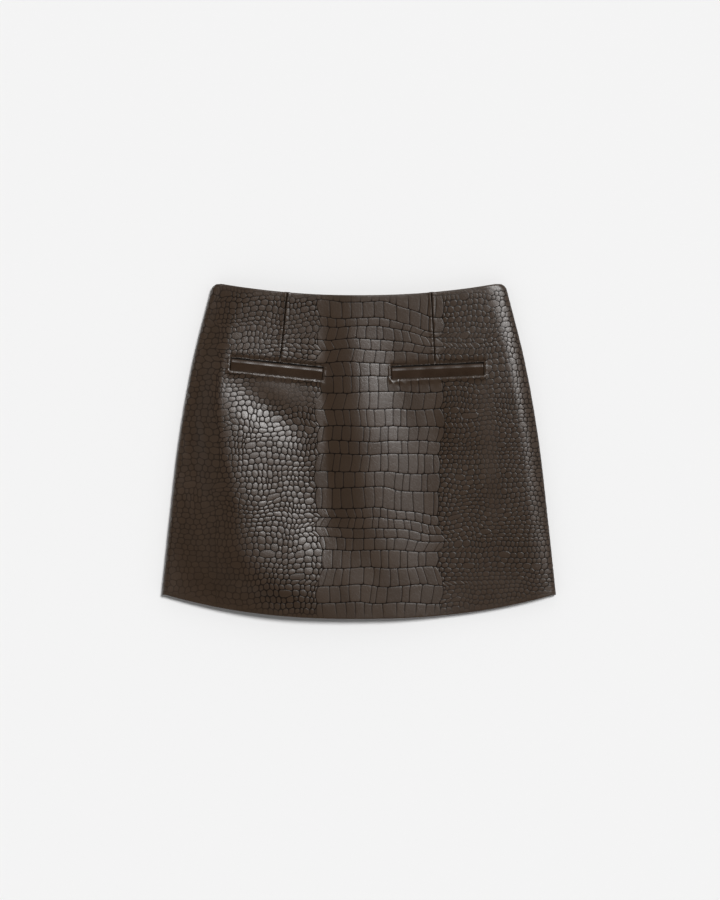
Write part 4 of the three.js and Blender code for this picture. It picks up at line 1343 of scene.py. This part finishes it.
# The slider is die-cast and plated dark. Its body runs on the coil inside, and its neck comes out through
# the seam to a pin, on which the pull tab hangs by its eye: a small drop-shaped plate with a raised rim.
PIN_Z, EYE_HALF_LENGTH, EYE_RADIUS, EYE_HOLE, EYE_BEVEL = 1, 1, 0.85, 0.5, 0.07
TAB_FOOT_Z, TAB_THICK, TAB_TOP_HALF_WIDTH, TAB_END_HALF_WIDTH = 0.3, 0.8, 1, 2.6
TAB_BEVEL, TAB_RIM, TAB_RECESS = 0.16, 0.55, 0.12
METAL_DARK, METAL_BRIGHT = (0.09, 0.075, 0.065, 1), (0.22, 0.19, 0.17, 1)


def plated_metal():
    """Dark plated die-cast metal, a little worn and cloudy."""
    finish = Finish("plated_metal")
    place = finish.node("ShaderNodeTexCoord", output=3)
    wear = finish.node("ShaderNodeTexNoise", {}, {"Vector": place, "Scale": 260, "Detail": 4})
    grain = finish.node("ShaderNodeTexNoise", {}, {"Vector": place, "Scale": 2200, "Detail": 2})
    colour = finish.mixed(wear, METAL_DARK, METAL_BRIGHT)
    bump = finish.node("ShaderNodeBump", {}, {"Height": grain, "Strength": 0.15, "Distance": 0.0001})
    return finish.finished(finish.node(
        "ShaderNodeBsdfPrincipled", {},
        {"Base Color": colour, "Metallic": 1.0, "Roughness": 0.24 + 0.2 * wear, "Normal": bump},
    ))


def tab_plate():
    start_y, round_y = SLIDER_Y - EYE_RADIUS * 0.6, SLIDER_Y - TAB_LENGTH + TAB_END_HALF_WIDTH
    end = [math.pi * (1 + i / 20) for i in range(21)]
    outline = [(TAB_END_HALF_WIDTH * math.cos(a), round_y + TAB_END_HALF_WIDTH * math.sin(a)) for a in end]
    for t in (0.33, 0.66, 0.97):
        half = TAB_END_HALF_WIDTH + (TAB_TOP_HALF_WIDTH - TAB_END_HALF_WIDTH) * t
        y = round_y + (start_y - round_y) * t
        outline = [(-half, y)] + outline + [(half, y)]
    top = TAB_TOP_HALF_WIDTH * 0.8
    outline = np.array([(-top, start_y)] + outline + [(top, start_y)])
    run = np.roll(outline, -1, axis=0) - np.roll(outline, 1, axis=0)
    inward = np.stack([-run[:, 1], run[:, 0]], axis=1) / np.linalg.norm(run, axis=1, keepdims=True)
    low, high = TAB_FOOT_Z, TAB_FOOT_Z + TAB_THICK
    steps = [
        (TAB_RIM + 0.12, high - TAB_RECESS), (TAB_RIM, high), (TAB_BEVEL, high), (0, high - TAB_BEVEL),
        (0, low + TAB_BEVEL), (TAB_BEVEL, low), (TAB_RIM, low), (TAB_RIM + 0.12, low + TAB_RECESS),
    ]
    rings = []
    for inset, z in steps:
        moved = outline + inward * inset
        rings.append(np.column_stack([moved, np.full(len(moved), z)]))
    return ring_mesh("tab_plate", rings)


def tab_eye():
    """The eye: a short tube round the pin."""
    end, bevel = EYE_HALF_LENGTH, EYE_BEVEL
    section = [
        (-end, EYE_HOLE + bevel), (-end + bevel, EYE_HOLE), (end - bevel, EYE_HOLE), (end, EYE_HOLE + bevel),
        (end, EYE_RADIUS - bevel), (end - bevel, EYE_RADIUS), (-end + bevel, EYE_RADIUS),
        (-end, EYE_RADIUS - bevel),
    ]
    turns = np.linspace(0, 2 * math.pi, 32, endpoint=False)
    points = [
        (MM * x, MM * (SLIDER_Y + r * math.cos(a)), MM * (PIN_Z + r * math.sin(a)))
        for a in turns for x, r in section
    ]
    faces = []
    for i in range(len(turns)):
        for j in range(8):
            a, b = i * 8 + j, i * 8 + (j + 1) % 8
            ahead = (i + 1) % len(turns) * 8
            faces.append((a, b, ahead + (j + 1) % 8, ahead + j))
    return shell("tab_eye", points, faces)


metal = plated_metal()
for slot in bpy.data.objects["zip_slider"].material_slots:
    slot.material = metal
tab = placed("pull_tab_plate", joined_mesh("pull_tab_plate", [tab_plate(), tab_eye()]))
tab.data.materials.append(metal)
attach(tab, "pull_tab")
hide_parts("zip_tab")
